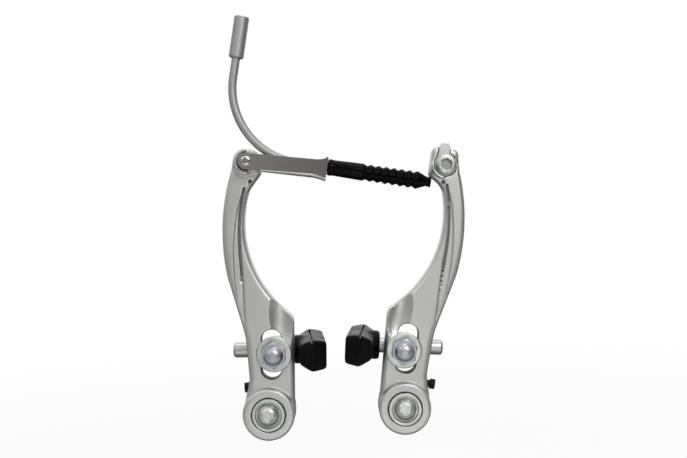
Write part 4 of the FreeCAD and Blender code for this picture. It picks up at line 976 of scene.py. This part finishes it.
class BRAKE_OT_stage(Operator):
    """Sets the floor, the light and the camera"""

    bl_idname = "brake.stage"
    bl_label = "Set stage"

    def execute(self, context):
        settings = context.scene.brake_stage
        self.make_floor(context, settings)
        self.make_world(context)
        self.make_lamps(context)
        self.make_camera(context, settings)
        context.scene.view_settings.view_transform = "Standard"
        return {"FINISHED"}

    def make_floor(self, context, settings):
        bpy.ops.object.select_all(action="DESELECT")
        bpy.ops.mesh.primitive_plane_add(size=settings.floor_size)
        floor = context.object
        floor.name = "floor"
        floor.location = (0.0, settings.floor_size / 2 - settings.floor_front, settings.floor_z)
        bpy.ops.object.transform_apply(location=True, rotation=False, scale=False)
        material = bpy.data.materials.new("pale_floor")
        material.use_nodes = True
        nodes, links = material.node_tree.nodes, material.node_tree.links
        surface = nodes["Principled BSDF"]
        surface.inputs["Base Color"].default_value = tuple(context.scene.brake_colours.floor) + (1.0,)
        surface.inputs["Roughness"].default_value = FLOOR_ROUGHNESS
        glow = nodes.new("ShaderNodeEmission")
        links.new(self.floor_with_mirrored_shadow(material.node_tree), glow.inputs["Strength"])
        seen = seen_directly(material.node_tree, "Is Camera Ray", "Is Glossy Ray", "Is Transmission Ray")
        share = join(material.node_tree, "MULTIPLY", seen, self.floor_white(material.node_tree, settings))
        mix = nodes.new("ShaderNodeMixShader")
        links.new(share, mix.inputs["Fac"])
        links.new(surface.outputs["BSDF"], mix.inputs[1])
        links.new(glow.outputs["Emission"], mix.inputs[2])
        links.new(mix.outputs["Shader"], nodes["Material Output"].inputs["Surface"])
        floor.data.materials.append(material)

    def floor_white(self, tree, settings):
        """Share of plain white in the floor as it is seen: less near the brake, where its shadow falls."""
        place = tree.nodes.new("ShaderNodeTexCoord")
        reach = tree.nodes.new("ShaderNodeVectorMath")
        reach.operation = "LENGTH"
        tree.links.new(place.outputs["Object"], reach.inputs[0])
        return ramp(tree, reach.outputs["Value"], FLOOR_WHITE_REACH, (settings.floor_glow, 1.0))

    def floor_with_mirrored_shadow(self, tree):
        """Plain white, but where metal mirrors the floor it has a painted shadow under and behind the brake.
        """
        mirrored_shadow = ramp(tree, axis_place(tree, "Object", "Y"), FLOOR_SHADOW_DEPTH, (0.0, FLOOR_SHADOW_DARKNESS))
        mirrored = seen_directly(tree, "Is Glossy Ray")
        taken = join(tree, "MULTIPLY", mirrored, mirrored_shadow)
        white = tree.nodes.new("ShaderNodeMath")
        white.operation = "SUBTRACT"
        white.inputs[0].default_value = 1.0
        tree.links.new(taken, white.inputs[1])
        return white.outputs["Value"]

    def make_world(self, context):
        world = bpy.data.worlds.new("studio")
        context.scene.world = world
        world.use_nodes = True
        nodes, links = world.node_tree.nodes, world.node_tree.links
        nodes.clear()
        output = nodes.new("ShaderNodeOutputWorld")
        soft = self.background(nodes, SOFT_LEVEL)
        room = self.background(nodes, 1.0)
        links.new(self.room_level(world.node_tree), room.inputs["Strength"])
        white = self.background(nodes, 1.0)
        mirrored = nodes.new("ShaderNodeMixShader")
        links.new(seen_directly(world.node_tree, "Is Glossy Ray"), mirrored.inputs["Fac"])
        links.new(soft.outputs["Background"], mirrored.inputs[1])
        links.new(room.outputs["Background"], mirrored.inputs[2])
        mix = nodes.new("ShaderNodeMixShader")
        straight = seen_directly(world.node_tree, "Is Camera Ray", "Is Transmission Ray")
        links.new(straight, mix.inputs["Fac"])
        links.new(mirrored.outputs["Shader"], mix.inputs[1])
        links.new(white.outputs["Background"], mix.inputs[2])
        links.new(mix.outputs["Shader"], output.inputs["Surface"])

    def background(self, nodes, strength):
        node = nodes.new("ShaderNodeBackground")
        node.inputs["Color"].default_value = WHITE
        node.inputs["Strength"].default_value = strength
        return node

    def room_level(self, tree):
        """What metal mirrors: the white sweep behind, a dimmer room in front and a pale table below that."""
        total = ramp(tree, axis_place(tree, "Generated", "Z"), *ROOM_ABOVE)
        for axis, levels in (("Y", ROOM_BEHIND), ("X", ROOM_ASIDE), ("Z", ROOM_BELOW)):
            part = ramp(tree, axis_place(tree, "Generated", axis), *levels)
            total = join(tree, "ADD", total, part)
            total.node.use_clamp = True
        return total

    def make_lamps(self, context):
        target = Vector(LAMP_TARGET)
        for name, place, size, power in LAMPS:
            lamp = bpy.data.lights.new(name, "AREA")
            lamp.shape = "SQUARE"
            lamp.size = size
            lamp.energy = power
            holder = bpy.data.objects.new(name, lamp)
            holder.location = place
            holder.rotation_euler = (target - Vector(place)).to_track_quat("-Z", "Y").to_euler()
            context.scene.collection.objects.link(holder)

    def make_camera(self, context, settings):
        lens = bpy.data.cameras.new("camera")
        lens.sensor_width = SENSOR_WIDTH_MM
        lens.lens = SENSOR_WIDTH_MM * settings.distance / (settings.pixel * IMAGE_WIDTH_PX)
        lens.clip_start = 0.01
        holder = bpy.data.objects.new("camera", lens)
        context.scene.collection.objects.link(holder)
        sine, cosine = math.sin(settings.roll), math.cos(settings.roll)
        turn = Matrix(((cosine, sine, 0.0), (0.0, 0.0, -1.0), (-sine, cosine, 0.0)))
        place = Vector((settings.camera_x, settings.front_y - settings.distance, settings.camera_z))
        holder.matrix_world = Matrix.Translation(place) @ turn.to_4x4()
        context.scene.camera = holder


class BRAKE_PT_panel(Panel):
    """Lists the brake's operators and settings"""

    bl_idname = "BRAKE_PT_panel"
    bl_label = "Rim brake"
    bl_space_type = "VIEW_3D"
    bl_region_type = "UI"
    bl_category = "Brake"

    def draw(self, context):
        for operator in OPERATORS:
            self.layout.operator(operator.bl_idname)
        scene = context.scene
        for settings in (scene.brake_colours, scene.brake_sizes, scene.brake_stage):
            for name in settings.bl_rna.properties.keys():
                if name not in ("rna_type", "name"):
                    self.layout.prop(settings, name)


OPERATORS = (
    BRAKE_OT_stage,
    BRAKE_OT_finishes,
    BRAKE_OT_metalwork,
    BRAKE_OT_arms,
    BRAKE_OT_fasteners,
    BRAKE_OT_carrier,
    BRAKE_OT_boot,
    BRAKE_OT_blocks,
    BRAKE_OT_springs,
)
CLASSES = (BRAKE_PG_colours, BRAKE_PG_sizes, BRAKE_PG_stage, *OPERATORS, BRAKE_PT_panel)


def register():
    for made in CLASSES:
        bpy.utils.register_class(made)
    bpy.types.Scene.brake_colours = PointerProperty(type=BRAKE_PG_colours)
    bpy.types.Scene.brake_sizes = PointerProperty(type=BRAKE_PG_sizes)
    bpy.types.Scene.brake_stage = PointerProperty(type=BRAKE_PG_stage)


def unregister():
    del bpy.types.Scene.brake_stage
    del bpy.types.Scene.brake_sizes
    del bpy.types.Scene.brake_colours
    for made in reversed(CLASSES):
        bpy.utils.unregister_class(made)


def main():
    register()
    bpy.ops.brake.stage()
    bpy.ops.brake.finishes()
    bpy.ops.brake.metalwork()
    bpy.ops.brake.arms()
    bpy.ops.brake.fasteners()
    bpy.ops.brake.carrier()
    bpy.ops.brake.boot()
    bpy.ops.brake.blocks()
    bpy.ops.brake.springs()


if __name__ == "__main__":
    main()
